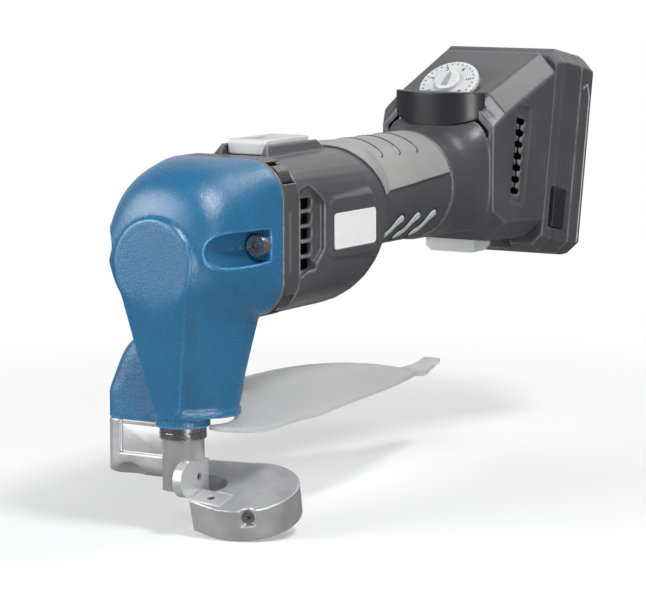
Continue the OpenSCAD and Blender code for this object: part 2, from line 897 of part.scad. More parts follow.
// Shallow pocket in front of the label field, with the fan's outlets in its floor
module vent_pocket() {
    along = [[ring_y + 1, 12], [47, 14], [57, 6.5], [57, -12.5], [49, -18.5], [ring_y + 1, -22]];
    for (side = [-1, 1]) translate([side * barrel_w / 2, 0, 0]) across_x(2 * pocket_depth) polygon(along);
    for (i = [0 : 4]) translate([0, ring_y + 8, 6.5 - i * 6]) cube([barrel_w + 10, 11, 4.4], center = true);
}

// Flat raised field that carries the label
module label_field() {
    hull() {
        across_x(barrel_w - 2) label_outline(0);
        across_x(barrel_w + 2 * field_rise) label_outline(1.8);
    }
}

// Eight-sided side view of the field, drawn in by g
module label_outline(g) {
    h = 0.4 * g;
    polygon([[58 + g, 6 - h], [62 + h, 9 - g], [94 - h, 9 - g], [98 - g, 5 - h],
        [98 - g, h - 15], [94 - h, g - 18], [62 + h, g - 18], [58 + g, h - 15]]);
}

// Raised seat for the slide switch, with sloping cheeks
module switch_platform() {
    mid = switch_y + switch_len / 2 + 1;
    hull() {
        translate([0, mid, switch_z - 4]) cube([30, 50, 1], center = true);
        translate([0, mid, switch_z + 4]) cube([switch_w + 3.4, 39, 1], center = true);
    }
}

module switch_channel() {
    translate([0, switch_y + switch_len / 2 - switch_travel / 2, switch_z + 10])
        cube([switch_w + 0.8, switch_len + switch_travel + 30, 2 * 10], center = true);
    translate([0, switch_y + switch_len / 2 - switch_travel / 2, switch_z])
        cube([stem_w + 0.8, stem_len + switch_travel + 1, 30], center = true);
}

module barrel_shell(side) {
    difference() {
        intersection() {
            union() {
                barrel_form(0);
                label_field();
                switch_platform();
            }
            half_space(side);
        }
        difference() {
            translate([0, eps, 0]) barrel_form(wall);
            motor_rib();
        }
        section(ring_y - 1, barrel_w - 2 * wall, barrel_h - 2 * wall, corner_r - wall, barrel_z, 3);
        rod_y(grip_r - wall, rear_y - 5, 10, 0, grip_z);
        vent_pocket();
        label_block(seat);
        switch_channel();
        shell_screw_at() {
            cylinder(r = 3.4, h = 10);
            translate([0, 0, -20]) cylinder(r = 1.5 + seat, h = 30);
        }
    }
}

// Webs that hold the stator and the motor's rear bearing, and thicker walls behind the vents
module motor_rib() {
    for (side = [-1, 1]) translate([side * (barrel_w / 2 - pocket_depth), ring_y + 13, -5])
        cube([2 * wall, 20, 42], center = true);
    difference() {
        translate([-50, motor_end_y, -50]) cube([100, 6, 100]);
        rod_y(motor_bearing_r + seat, motor_end_y - 1, 6);
        rod_y(motor_shaft_r + 1, motor_end_y - 1, 20);
        lead_at() rod_y(3, motor_end_y - 1, 20);
        translate([0, 0, rod_z]) cube([8, 400, 5], center = true);
    }
    difference() {
        translate([-50, stator_y + 4, -50]) cube([100, stator_len - 8, 100]);
        rod_y(stator_r + 0.05, stator_y - 1, stator_len + 2);
        translate([0, 0, rod_z]) cube([8, 400, 5], center = true);
        for (a = [45 : 90 : 315]) rotate([0, a, 0])
            translate([stator_r - 1, stator_y - 1, -7]) cube([40, stator_len + 2, 14]);
    }
}

module left_shell() {
    color("dimgray") barrel_shell(1);
}

module right_shell() {
    color("dimgray") barrel_shell(-1);
}

// Screws that close the two halves, driven from the right side
module shell_screw_at() {
    for (p = [[64, 17], [66, -34]]) translate([-barrel_w / 2 + 6, p[0], p[1]]) rotate([0, -90, 0]) children();
}

module shell_screws() {
    color("black") shell_screw_at() difference() {
        union() {
            cylinder(r = 3, h = 2.5);
            translate([0, 0, -12]) cylinder(r = 1.5, h = 12.5);
        }
        translate([0, 0, 1]) cylinder(r = 1.2, h = 3, $fn = 6);
    }
}

// Slider with a thumb dish, on a stem that reaches the rod inside
module slide_switch() {
    color("silver") difference() {
        union() {
            translate([-switch_w / 2, switch_y, switch_z + clearance]) cube([switch_w, switch_len, switch_h]);
            translate([-stem_w / 2, switch_y + switch_len / 2 - stem_len / 2, rod_z - 1])
                cube([stem_w, stem_len, 8]);
        }
        translate([0, switch_y + switch_len / 2, switch_z + switch_h + thumb_r - 1.5]) rotate([0, 90, 0])
            cylinder(r = thumb_r, h = 12, center = true);
        translate([0, switch_y, switch_z + switch_h - 1]) rotate([-30, 0, 0])
            translate([-20, -10, 0]) cube([40, 10, 10]);
    }
}

module switch_rod() {
    color("black") translate([-2, switch_y + switch_len / 2 + stem_len / 2, rod_z - 1])
        cube([4, module_y - switch_y - switch_len / 2 - stem_len / 2 - clearance, 2]);
}

module switch_module() {
    top = grip_z + sqrt(pow(grip_r - wall, 2) - pow(module_w / 2, 2)) - running;
    color("black") translate([-module_w / 2, module_y, top - module_h]) cube([module_w, 22, module_h]);
}

// Soft panel moulded over the grip and the rear of the barrel, with three grooves
module soft_grip() {
    color("gray") difference() {
        barrel_form(-soft_t);
        barrel_form(-seat);
        translate([0, soft_y, soft_low]) rotate([soft_rake, 0, 0])
            translate([-50, -100, -100]) cube([100, 100, 200]);
        translate([-50, rear_y - soft_gap, -100]) cube([100, 100, 200]);
        translate([0, grip_y, soft_low]) rotate([4, 0, 0]) translate([-50, -40, -60]) cube([100, 140, 60]);
        for (i = [0 : 2]) grip_groove(grip_y + 8 + 15 * i);
    }
}

// Narrow groove round the top of the soft panel
module grip_groove(y) {
    intersection() {
        tube_y(grip_r + 2, grip_r + 0.4, y, 1.2, 0, grip_z);
        translate([-13, y - 5, 0]) cube([26, 10, 60]);
    }
}

// Three slanting stripes let into each lower flank of the grip
module stripe_inserts() {
    color("lightgray") for (side = [-1, 1], i = [0 : 2]) intersection() {
        tube_y(grip_r + 0.5, grip_r + seat, grip_y, 60, 0, grip_z);
        translate([side * 18, grip_y + 12 + 14 * i, -12]) rotate([35, 0, 0]) cube([18, 16, 5], center = true);
    }
}

// Thin bare plate in a shallow seat on the left side
module label_block(grow) {
    translate([barrel_w / 2 + field_rise + label_proud - label_t - grow, label_y - grow, label_z - grow])
        cube([label_t + 20 * grow, label_len + 2 * grow, label_h + 2 * grow]);
}

module label_plate() {
    color("white") label_block(0);
}

// The rear housing and what it carries

// Bevelled block in front of the pack; inset makes the hollow inside it
module rear_form(inset) {
    hull() {
        bevel_section(block_y, rear_w - 6 - 2 * inset, block_h - 12 - 2 * inset, block_bevel - inset / 2,
            block_z);
        bevel_section(block_y + 7, rear_w - 2 * inset, block_h - 2 * inset, block_bevel - inset / 2, block_z);
        in_pack() bevel_section(-rear_gap - 1 - inset, pack_w - 2 * inset, rear_h - 2 * inset,
            block_bevel - inset / 2, rear_mid);
    }
}

// Trumpet that carries the round grip out into the block
module grip_flare() {
    collar = 2 * (grip_r + soft_t);
    tube = [oval(rear_y, collar, collar, grip_z, 2)];
    loft(concat(tube, [for (i = [0 : flare_steps]) let (t = i / flare_steps, k = 1 - sqrt(1 - t * t))
        oval(flare_y + (block_y + 2 - flare_y) * t, collar + (rear_w - 5 - collar) * k,
            collar + (block_h - 11 - collar) * k, grip_z + (block_z - grip_z) * k, 2 + 4 * k)]));
}

module rear_housing() {
    color("dimgray") difference() {
        union() {
            rear_form(0);
            grip_flare();
            at_dial() translate([0, 0, -dial_seat]) cylinder(r = dial_r - 1, h = dial_seat);
        }
        difference() {
            rear_form(wall);
            at_dial() translate([0, 0, -dial_seat]) cylinder(r = dial_r - 1, h = 20);
        }
        rod_y(grip_r - wall, rear_y - 5, block_y + 10 - rear_y, 0, grip_z);
        at_dial() cylinder(r = dial_r + dial_room, h = 30);
        at_dial() translate([0, 0, -30]) cylinder(r = 5 + seat, h = 60);
        side_vents();
        for (side = [-1, 1])
            in_pack() translate([side * pack_w / 2, -rear_gap - 6, 0]) cube([3, 1.2, 30], center = true);
        visor_block(seat);
    }
}

// Ladder of air slots in a shallow panel on each side, leaning with the pack
module side_vents() {
    in_pack() {
        for (i = [0 : vent_count - 1])
            translate([0, vent_y, vent_top - i * vent_pitch]) cube([100, 8, 2.4], center = true);
        translate([0, vent_y, vent_top - (vent_count - 1) * vent_pitch / 2])
            cube([100, 2, vent_pitch * (vent_count - 1)], center = true);
        for (side = [-1, 1])
            translate([side * (rear_w / 2 + 2.2), vent_y, vent_top - 15]) cube([5, 13, 44], center = true);
    }
}

module visor_drum(grow) {
    translate([0, visor_front + visor_r, 0]) cylinder(r = visor_r + grow, h = 60, $fn = 96);
}

// Smooth bowed panel across the front of the dial, with a bowed lower edge
module visor_block(grow = 0) {
    difference() {
        intersection() {
            visor_drum(grow);
            along_y(visor_front - 1, visor_t + grow) visor_outline(grow);
        }
        at_dial() cylinder(r = dial_r + dial_room, h = dial_t + dial_room);
        at_dial() cylinder(r = knob_r + dial_room, h = dial_t + knob_h + dial_room);
    }
}

module visor_outline(grow) {
    intersection() {
        translate([-visor_w / 2 - grow, visor_z - visor_dip - grow])
            square([visor_w + 2 * grow, visor_h + visor_dip + 20 * grow]);
        translate([0, visor_z - visor_dip + visor_bow_r]) circle(visor_bow_r + grow);
    }
}

module visor() {
    color("black") visor_block();
}

module at_dial() {
    translate([0, dial_y, dial_z]) rotate([dial_tilt, 0, 0]) children();
}

module speed_dial() {
    color("white") at_dial() {
        translate([0, 0, clearance]) cylinder(r = dial_r, h = dial_t);
        translate([0, 0, -5]) cylinder(r = stem_r, h = 6);
        translate([0, 0, dial_t]) cylinder(r = knob_r, h = knob_h);
    }
}

module dial_potentiometer() {
    color("black") at_dial() difference() {
        union() {
            translate([0, 0, -13]) cylinder(r = 8, h = 7);
            translate([0, 0, -7]) cylinder(r = 5, h = 6.5);
        }
        translate([0, 0, -5.5]) cylinder(r = stem_r + running, h = 10);
    }
}

module circuit_board() {
    color("darkgreen") translate([-board_w / 2, board_y, board_z]) cube([board_w, board_len, 1.6]);
}

// T-section rail that the pack slides down
module battery_rail() {
    color("black") in_pack() {
        translate([-rail_neck / 2, -rear_gap, rail_low])
            cube([rail_neck, rear_gap + rail_lip + 0.5, rail_len]);
        translate([-rail_w / 2, rail_lip, rail_low]) cube([rail_w, rail_out - rail_lip, rail_len]);
    }
}

module contact_at() {
    for (x = [-9, -3, 3, 9]) translate([x, (rail_lip + rail_out) / 2, rail_low + rail_len]) children();
}

module contact_block() {
    color("goldenrod") in_pack() contact_at() translate([-0.4, -1.2, 0]) cube([0.8, 2.4, contact_len]);
}

module rest_foot() {
    color("lightgray") difference() {
        hull() {
            translate([-12.3, foot_y, -29]) cube([24.6, 16, 6]);
            translate([-10.5, foot_y + 1.5, -31.5]) cube([21, 13, 1]);
        }
        rear_form(-0.02);
    }
}

module pack_form(y0, len, inset) {
    along_y(y0, len) translate([0, (pack_low + pack_top) / 2])
        chamfered_rect(pack_w - 2 * inset, pack_h - 2 * inset, pack_corner - inset / 2);
}

// Channel in the pack's front that takes the rail, open at the lower end
module rail_channel() {
    len = rail_low + rail_len - pack_low + 1;
    translate([-rail_neck / 2 - clearance, -1, pack_low - 1])
        cube([rail_neck + 2 * clearance, rail_lip + 2, len + clearance]);
    translate([-rail_w / 2 - clearance, rail_lip - clearance, pack_low - 1])
        cube([rail_w + 2 * clearance, rail_out - rail_lip + 2 * clearance, len + clearance]);
    contact_at() translate([-0.8, -1.6, -1]) cube([1.6, 3.2, contact_len + 2]);
}

module battery_case() {
    color("dimgray") in_pack() difference() {
        hull() {
            pack_form(0, 1, 2.5);
            pack_form(4, split_t - 4, 0);
        }
        pack_form(rail_out + floor_t, split_t, pack_wall);
        difference() {
            pack_form(split_t - 1.2, 5, -1);
            pack_form(split_t - 3, 8, 0.7);
        }
        rail_channel();
        for (side = [-1, 1]) button_space(side, clearance, 8);
    }
}

module battery_cover() {
    color("dimgray") in_pack() difference() {
        hull() {
            pack_form(split_t, 7, 0);
            pack_form(pack_t - 3, 1, cover_bevel / 3);
            pack_form(pack_t - 1, 1, cover_bevel);
        }
        pack_form(split_t - 1, pack_t - split_t - 2, pack_wall + 1);
        for (side = [-1, 1]) translate([side * pack_w / 2, 0, 0]) across_x(2 * panel_depth) side_panel();
    }
}

// Side view of the shallow panel on each flank of the cover
module side_panel() {
    polygon([[24.5, -22], [28, -27], [33.5, -27], [33.5, 42], [30, 49], [24.5, 46]]);
}

module battery_cells() {
    color("steelblue") in_pack() for (i = [-1 : 1])
        translate([i * cell_pitch, cell_y, cell_low]) cylinder(r = cell_r, h = cell_len);
}

module cell_straps() {
    color("silver") in_pack() for (z = [cell_low - 0.5, cell_low + cell_len])
        translate([-cell_pitch - 5, cell_y - 4, z]) cube([2 * cell_pitch + 10, 8, 0.5]);
}

module button_space(side, grow, depth) {
    outer = pack_w / 2 + 0.8;
    translate([side > 0 ? outer - depth : -outer, button_y - button_len / 2 - grow,
        button_z - button_h / 2 - grow])
        cube([depth, button_len + 2 * grow, button_h + 2 * grow]);
}

module left_button() {
    color("black") in_pack() button_space(1, 0, button_t);
}

module right_button() {
    color("black") in_pack() button_space(-1, 0, button_t);
}

module lead_at() {
    for (p = [[-9, -9], [0, -13.4], [9, -9]]) translate([p[0], 0, p[1]]) children();
}

module motor_leads() {
    color("red") lead_at() rod_y(1.2, stator_y + stator_len, board_y + 4 - stator_y - stator_len);
}

placed() head_housing();
placed() head_screws();
placed() corner_screws();
placed() ram();
placed() guide_bush();
placed() scraper_ring();
placed() upper_blade();
placed() upper_blade_screw();
placed() lower_arm();
placed() arm_screws();
placed() lower_blade();
placed() lower_blade_screw();
placed() arm_set_screw();
placed() hand_guard();
placed() guard_bracket();
placed() guard_screws();
placed() eccentric_shaft();
placed() eccentric_roller();
placed() front_bearing();
placed() rear_bearing();
placed() drive_gear();
placed() gear_plate();
placed() motor_shaft();
placed() rotor();
placed() stator();
placed() motor_fan();
placed() motor_bearings();
placed() left_shell();
placed() right_shell();
placed() shell_screws();
placed() slide_switch();
placed() switch_rod();
placed() switch_module();
placed() soft_grip();
placed() stripe_inserts();
placed() label_plate();
placed() rear_housing();
placed() visor();
placed() speed_dial();
placed() dial_potentiometer();
placed() circuit_board();
placed() battery_rail();
placed() contact_block();
placed() rest_foot();
placed() battery_case();
placed() battery_cover();
placed() battery_cells();
placed() cell_straps();
placed() left_button();
placed() right_button();
placed() motor_leads();
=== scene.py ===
"""Looks for the cordless sheet-metal shear: skins, materials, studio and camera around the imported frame.

Sizes are in millimetres and places are counted from where the ram axis meets the motor axis, unless a line
says otherwise.
"""

import json
import math

import bpy
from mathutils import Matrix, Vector


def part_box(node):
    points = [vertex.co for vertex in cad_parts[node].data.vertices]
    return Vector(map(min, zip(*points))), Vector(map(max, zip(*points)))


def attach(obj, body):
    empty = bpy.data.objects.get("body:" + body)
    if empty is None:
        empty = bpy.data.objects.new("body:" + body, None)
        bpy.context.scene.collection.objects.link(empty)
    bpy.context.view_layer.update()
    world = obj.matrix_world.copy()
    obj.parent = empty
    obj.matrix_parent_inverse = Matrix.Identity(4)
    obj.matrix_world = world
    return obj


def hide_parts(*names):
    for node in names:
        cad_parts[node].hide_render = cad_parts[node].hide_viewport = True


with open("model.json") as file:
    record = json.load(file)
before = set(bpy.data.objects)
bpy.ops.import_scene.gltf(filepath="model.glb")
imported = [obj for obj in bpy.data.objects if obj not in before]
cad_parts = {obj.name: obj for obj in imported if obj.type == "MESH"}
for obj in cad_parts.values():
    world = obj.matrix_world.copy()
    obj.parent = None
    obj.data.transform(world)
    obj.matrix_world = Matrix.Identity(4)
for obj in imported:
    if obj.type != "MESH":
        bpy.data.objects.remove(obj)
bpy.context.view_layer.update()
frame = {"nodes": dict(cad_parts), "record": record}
nodes = frame["nodes"]
record = frame["record"]
body_of = {n: body for body, ns in record["behaviour"]["bodies"].items() for n in ns}
slot_of = {s["node"]: s["material_slot"] for s in record["subparts"]}
JOINTS = {j["name"]: j for j in record["behaviour"]["joints"]}
MM = 0.001

# The photograph's camera: its frame in pixels, and where the ram axis meets the motor axis in it
PHOTO_W, PHOTO_H = 646, 600
FOCAL_PX = 3000.0
AZIMUTH, ELEVATION = math.radians(31.0), math.radians(7.6)
RAM_PX, RAM_PY = 181.7, 227.0
DISTANCE = 1.1628  # metres
SENSOR = 36.0
CLIP = (0.05, 50.0)  # metres


def middle(node):
    low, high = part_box(node)
    return (low + high) / 2


RAM = middle("guide_bush")
MOTOR_Z = middle("rotor").z
ORIGIN = Vector((RAM.x, RAM.y, MOTOR_Z))


def at(x, y, z):
    """A place in the frame."""
    return ORIGIN + Vector((x, y, z)) * MM


def step(low, high, value):
    """Smooth step from 0 at low to 1 at high; low may be the larger."""
    t = min(max((value - low) / (high - low), 0.0), 1.0)
    return t * t * (3 - 2 * t)


# Materials: noise scales are in features per metre, bump depths in metres, colours linear

EVEN = (1.0, 1.0, 1.0)
# Pointiness at which an edge starts to lighten and is fully lightened, and how much lighter its colour is:
# partly rubbed wear, partly painted highlight
HIGHLIGHT_WEAR_START, HIGHLIGHT_WEAR_FULL = 0.51, 0.55
HIGHLIGHT_WEAR_GAIN, HIGHLIGHT_WEAR_LIFT = 2.6, 0.06
# The lighter edges come in patches: their scale, the least share of them, and the noise values between which
# it grows
HIGHLIGHT_WEAR_PATCHES, HIGHLIGHT_WEAR_LEAST, HIGHLIGHT_WEAR_SPREAD = 260.0, 0.35, (0.35, 0.6)
# Plastic and paint: broad unevenness, and what the fine grain does to height and roughness
CLOUDS = 45.0
GRAIN_BUMP, GRAIN_SHINE, GRAIN_DULL = 0.6, 0.07, 0.09
# Steel: broad blotches, and the height of the brush lines
BLOTCHES = 70.0
BRUSH_BUMP = 0.5
# Clear sheet: the share of light it lets through, how much it bends it, and the scales of haze and frosting
SHEET_CLEAR, SHEET_IOR = 0.7, 1.25
SHEET_HAZE, SHEET_FROST = 30.0, 2400.0


def shader(name, colour, roughness, metallic=0.0):
    """A node material with its shader."""
    mat = bpy.data.materials.new(name)
    mat.use_nodes = True
    bsdf = mat.node_tree.nodes["Principled BSDF"]
    bsdf.inputs["Base Color"].default_value = (*colour, 1.0)
    bsdf.inputs["Roughness"].default_value = roughness
    bsdf.inputs["Metallic"].default_value = metallic
    mat.diffuse_color = (*colour, 1.0)
    return mat, mat.node_tree, bsdf


def noise(tree, scale, detail, stretch=EVEN):
    """Noise in the object's own space."""
    coord = tree.nodes.new("ShaderNodeTexCoord")
    mapping = tree.nodes.new("ShaderNodeMapping")
    mapping.inputs["Scale"].default_value = stretch
    tex = tree.nodes.new("ShaderNodeTexNoise")
    tex.inputs["Scale"].default_value = scale
    tex.inputs["Detail"].default_value = detail
    tree.links.new(coord.outputs["Object"], mapping.inputs["Vector"])
    tree.links.new(mapping.outputs["Vector"], tex.inputs["Vector"])
    return tex.outputs["Fac"]


def as_colour(value):
    return (*value, 1.0) if isinstance(value, tuple) else (value, value, value, 1.0)


def ramp(tree, source, low, high, start=0.3, end=0.7):
    """Ramp between two colours or two grey values."""
    node = tree.nodes.new("ShaderNodeValToRGB")
    first, last = node.color_ramp.elements
    first.color, first.position = as_colour(low), start
    last.color, last.position = as_colour(high), end
    tree.links.new(source, node.inputs["Fac"])
    return node.outputs["Color"]


def combine(tree, operation, first, second):
    """A Math node on two values, each a socket or a plain number."""
    node = tree.nodes.new("ShaderNodeMath")
    node.operation = operation
    for value, socket in zip((first, second), node.inputs):
        if isinstance(value, float):
            socket.default_value = value
        else:
            tree.links.new(value, socket)
    return node.outputs[0]


def bump(tree, bsdf, source, strength, depth):
    node = tree.nodes.new("ShaderNodeBump")
    node.inputs["Strength"].default_value = strength
    node.inputs["Distance"].default_value = depth
    tree.links.new(source, node.inputs["Height"])
    tree.links.new(node.outputs["Normal"], bsdf.inputs["Normal"])


def shade(colour, k):
    return tuple(c * k for c in colour)


def wear_and_highlight_edges(tree, base, worn_highlight_colour, amount):
    """Mixes a lighter colour in along sharp edges, in patches: partly rubbed wear, partly a painted highlight
    where edges catch the light.
    """
    geometry = tree.nodes.new("ShaderNodeNewGeometry")
    edge = ramp(tree, geometry.outputs["Pointiness"], 0.0, amount, HIGHLIGHT_WEAR_START, HIGHLIGHT_WEAR_FULL)
    patches = ramp(tree, noise(tree, HIGHLIGHT_WEAR_PATCHES, 4.0), HIGHLIGHT_WEAR_LEAST, 1.0, *HIGHLIGHT_WEAR_SPREAD)
    mix = tree.nodes.new("ShaderNodeMix")
    mix.data_type = "RGBA"
    mix.inputs["B"].default_value = (*worn_highlight_colour, 1.0)
    tree.links.new(combine(tree, "MULTIPLY", edge, patches), mix.inputs["Factor"])
    tree.links.new(base, mix.inputs["A"])
    return mix.outputs["Result"]


def moulded(name, colour, roughness, grain, depth=0.00006, spread=0.12, wear_and_highlight=0.5, gloss=0.35):
    """Moulded plastic or paint with a fine grain, slight unevenness and lighter edges, partly rubbed wear and
    partly painted highlight.
    """
    mat, tree, bsdf = shader(name, colour, roughness)
    fine = noise(tree, grain, 2.0)
    base = ramp(tree, noise(tree, CLOUDS, 4.0), shade(colour, 1 - spread), shade(colour, 1 + spread))
    # The lighter edge colour: partly rubbed wear, partly painted highlight.
    rubbed_and_highlit = tuple(min(1.0, HIGHLIGHT_WEAR_GAIN * c + HIGHLIGHT_WEAR_LIFT) for c in colour)
    tree.links.new(wear_and_highlight_edges(tree, base, rubbed_and_highlit, wear_and_highlight), bsdf.inputs["Base Color"])
    dull = ramp(tree, fine, roughness - GRAIN_SHINE, roughness + GRAIN_DULL)
    tree.links.new(dull, bsdf.inputs["Roughness"])
    bsdf.inputs["Specular IOR Level"].default_value = gloss
    bump(tree, bsdf, fine, GRAIN_BUMP, depth)
    return mat


def steel(name, colour, roughness, stretch=EVEN, grain=900.0, depth=0.000003, blotch=0.12, metal=0.92,
          vary=0.11):
    """Bare metal with brush lines along the squeezed axis and faint blotches."""
    mat, tree, bsdf = shader(name, colour, roughness, metal)
    lines = noise(tree, grain, 3.0, stretch)
    base = ramp(tree, noise(tree, BLOTCHES, 5.0), shade(colour, 1 - blotch), shade(colour, 1 + blotch))
    tree.links.new(base, bsdf.inputs["Base Color"])
    tree.links.new(ramp(tree, lines, roughness - vary, roughness + vary), bsdf.inputs["Roughness"])
    bump(tree, bsdf, lines, BRUSH_BUMP, depth)
    return mat


def clear_sheet(name):
    """Frosted see-through plastic with a faint haze and an even, fine frosting."""
    mat, tree, bsdf = shader(name, (0.96, 0.96, 0.965), 0.32)
    bsdf.inputs["Transmission Weight"].default_value = SHEET_CLEAR
    bsdf.inputs["IOR"].default_value = SHEET_IOR
    haze = ramp(tree, noise(tree, SHEET_HAZE, 4.0), (0.94, 0.94, 0.945), (0.98, 0.98, 0.985))
    frost = ramp(tree, noise(tree, SHEET_FROST, 2.0), 0.29, 0.36)
    tree.links.new(haze, bsdf.inputs["Base Color"])
    tree.links.new(frost, bsdf.inputs["Roughness"])
    return mat


# Each look's edge share lightens its sharp edges: partly rubbed wear, partly painted highlight.
PLASTICS = {
    "blue_paint": dict(colour=(0.018, 0.14, 0.29), roughness=0.26, grain=2000.0, depth=0.00026, spread=0.07,
                       wear_and_highlight=0.7, gloss=0.9),
    "dark_shell": dict(colour=(0.076, 0.076, 0.08), roughness=0.33, grain=2200.0, depth=0.00007, wear_and_highlight=0.8,
                       gloss=0.5),
    "soft_panel": dict(colour=(0.34, 0.34, 0.338), roughness=0.42, grain=1700.0, depth=0.0001, spread=0.1,
                       wear_and_highlight=0.0, gloss=0.45),
    "light_trim": dict(colour=(0.6, 0.605, 0.61), roughness=0.36, grain=2600.0, depth=0.00004, spread=0.06,
                       wear_and_highlight=0.4),
    "white_plate": dict(colour=(0.84, 0.84, 0.845), roughness=0.3, grain=2600.0, depth=0.00002, spread=0.03,
                        wear_and_highlight=0.0),
    "black_plastic": dict(colour=(0.02, 0.02, 0.021), roughness=0.48, grain=2400.0),
    "visor_black": dict(colour=(0.022, 0.022, 0.024), roughness=0.3, grain=3000.0, depth=0.00003, spread=0.1),
    "board_green": dict(colour=(0.02, 0.12, 0.05), roughness=0.35, grain=2000.0, depth=0.00004),
    "cell_wrap": dict(colour=(0.03, 0.12, 0.3), roughness=0.25, grain=1500.0, depth=0.00002),
    "lead_red": dict(colour=(0.35, 0.02, 0.02), roughness=0.45, grain=2000.0, depth=0.00003),
}
STEELS = {
    "blade_steel": dict(colour=(0.72, 0.72, 0.725), roughness=0.34, stretch=(1.0, 1.0, 0.3), depth=0.000001,
                        blotch=0.06, metal=0.55, vary=0.04),
    "ram_steel": dict(colour=(0.58, 0.58, 0.585), roughness=0.24, stretch=(1.0, 1.0, 0.08), blotch=0.05,
                      metal=0.6, vary=0.03),
    "arm_steel": dict(colour=(0.6, 0.596, 0.605), roughness=0.4, grain=1300.0, depth=0.00001, blotch=0.2,
                      metal=0.6),
    "screw_black": dict(colour=(0.15, 0.15, 0.153), roughness=0.3, grain=1200.0, metal=0.6),
    "screw_steel": dict(colour=(0.48, 0.48, 0.485), roughness=0.3),
    "bearing_steel": dict(colour=(0.42, 0.42, 0.425), roughness=0.22, stretch=(0.1, 1.0, 1.0)),
    "bronze": dict(colour=(0.42, 0.28, 0.13), roughness=0.35, stretch=(1.0, 1.0, 0.1)),
    "contact_brass": dict(colour=(0.6, 0.44, 0.17), roughness=0.28),
    "copper": dict(colour=(0.5, 0.23, 0.12), roughness=0.35, stretch=(1.0, 0.15, 1.0)),
}
MATERIALS = {name: moulded(name, **look) for name, look in PLASTICS.items()}
MATERIALS.update((name, steel(name, **look)) for name, look in STEELS.items())
MATERIALS["clear_guard"] = clear_sheet("clear_guard")

# Pieces that the photograph shows lighter or darker than the rest of their slot
# The two blade screws take the near-black finish as painted shade, standing for the dark inside their
# sockets.
FINISH = {"ram": "ram_steel", "head_screws": "screw_steel",
          "upper_blade_screw": "visor_black", "lower_blade_screw": "visor_black"}
CAD_SHARP = math.radians(28)


def paint(obj, finish):
    obj.data.materials.clear()
    obj.data.materials.append(MATERIALS[finish])


def finish_of(node):
    return FINISH.get(node, slot_of[node])


for name, obj in nodes.items():
    paint(obj, finish_of(name))
    obj.data.shade_smooth()
    obj.data.set_sharp_from_angle(angle=CAD_SHARP)


# Skins: a CAD piece's own shape, with the small radii that casting and moulding leave on its edges

def copy_of(node):
    obj = bpy.data.objects.new(node + "_skin", nodes[node].data.copy())
    bpy.context.scene.collection.objects.link(obj)
    return obj


def baked(obj):
    """Gives the object the mesh that its modifiers make."""
    graph = bpy.context.evaluated_depsgraph_get()
    mesh = bpy.data.meshes.new_from_object(obj.evaluated_get(graph))
    obj.modifiers.clear()
    obj.data = mesh
    return mesh


def smooth_by(obj, passes, group=""):
    smooth = obj.modifiers.new("smooth", "SMOOTH")
    smooth.factor = 0.5
    smooth.iterations = passes
    smooth.vertex_group = group


def skin(node, voxel, passes, soft=None, soft_passes=0):
    """Replaces a CAD node by a copy with softened edges.

    soft gives the share of a second, longer smoothing at a place.
    """
    obj = copy_of(node)
    remesh = obj.modifiers.new("remesh", "REMESH")
    remesh.mode = "VOXEL"
    remesh.voxel_size = voxel * MM
    smooth_by(obj, passes)
    mesh = baked(obj)
    if soft:
        group = obj.vertex_groups.new(name="soft")
        for v in mesh.vertices:
            share = soft((v.co - ORIGIN) / MM)
            if share > 0.0:
                group.add([v.index], share, "REPLACE")
        smooth_by(obj, soft_passes, group.name)
        mesh = baked(obj)
        obj.vertex_groups.clear()
    mesh.shade_smooth()
    paint(obj, finish_of(node))
    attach(obj, body_of[node])
    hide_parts(node)


# The head's teardrop front panel, the scoops on its flanks, and the rooms inside it
SHAFT_Z, PANEL_R = -12.5, 17.6
PANEL_FOOT_Z, PANEL_FOOT_R = -67.0, 7.0
SCOOP_X, SCOOP_Z, SCOOP_R = 28.0, -7.0, 6.6
GEAR_ROOM_R, GEAR_ROOM_Y = 16.0, -12.0
BUSH_ROOM_R, BUSH_ROOM_Y, BUSH_ROOM_TOP = 11.2, -8.0, 6.0
# Where the smooth flow of the casting starts and where it is full
FLOW_OFF_PANEL, FLOW_OFF_NECK, NECK_Z = (0.6, 5.0), (3.0, 9.0), (-26.0, -40.0)
FLOW_BEHIND = (-4.0, 6.0)
FLOW_ON_PANEL, FLOW_ON_PANEL_Y = (-3.5, -6.5), (-10.2, -11.2)
FLOW_OFF_SCOOP = (0.6, 4.5)
FLOW_OFF_FLANGE, FLOW_OFF_FOOT = (23.5, 17.0), (-69.0, -58.0)
# The panel's left edge is rounded a little
EDGE_SHARE, EDGE_X, EDGE_OFF = 0.04, (2.0, 6.0), (2.6, 1.0)


def off_panel(x, z):
    """Distance outside the outline of the teardrop front panel."""
    t = min(max((SHAFT_Z - z) / (SHAFT_Z - PANEL_FOOT_Z), 0.0), 1.0)
    mid_z = SHAFT_Z + t * (PANEL_FOOT_Z - SHAFT_Z)
    return math.hypot(x, z - mid_z) - (PANEL_R + t * (PANEL_FOOT_R - PANEL_R))


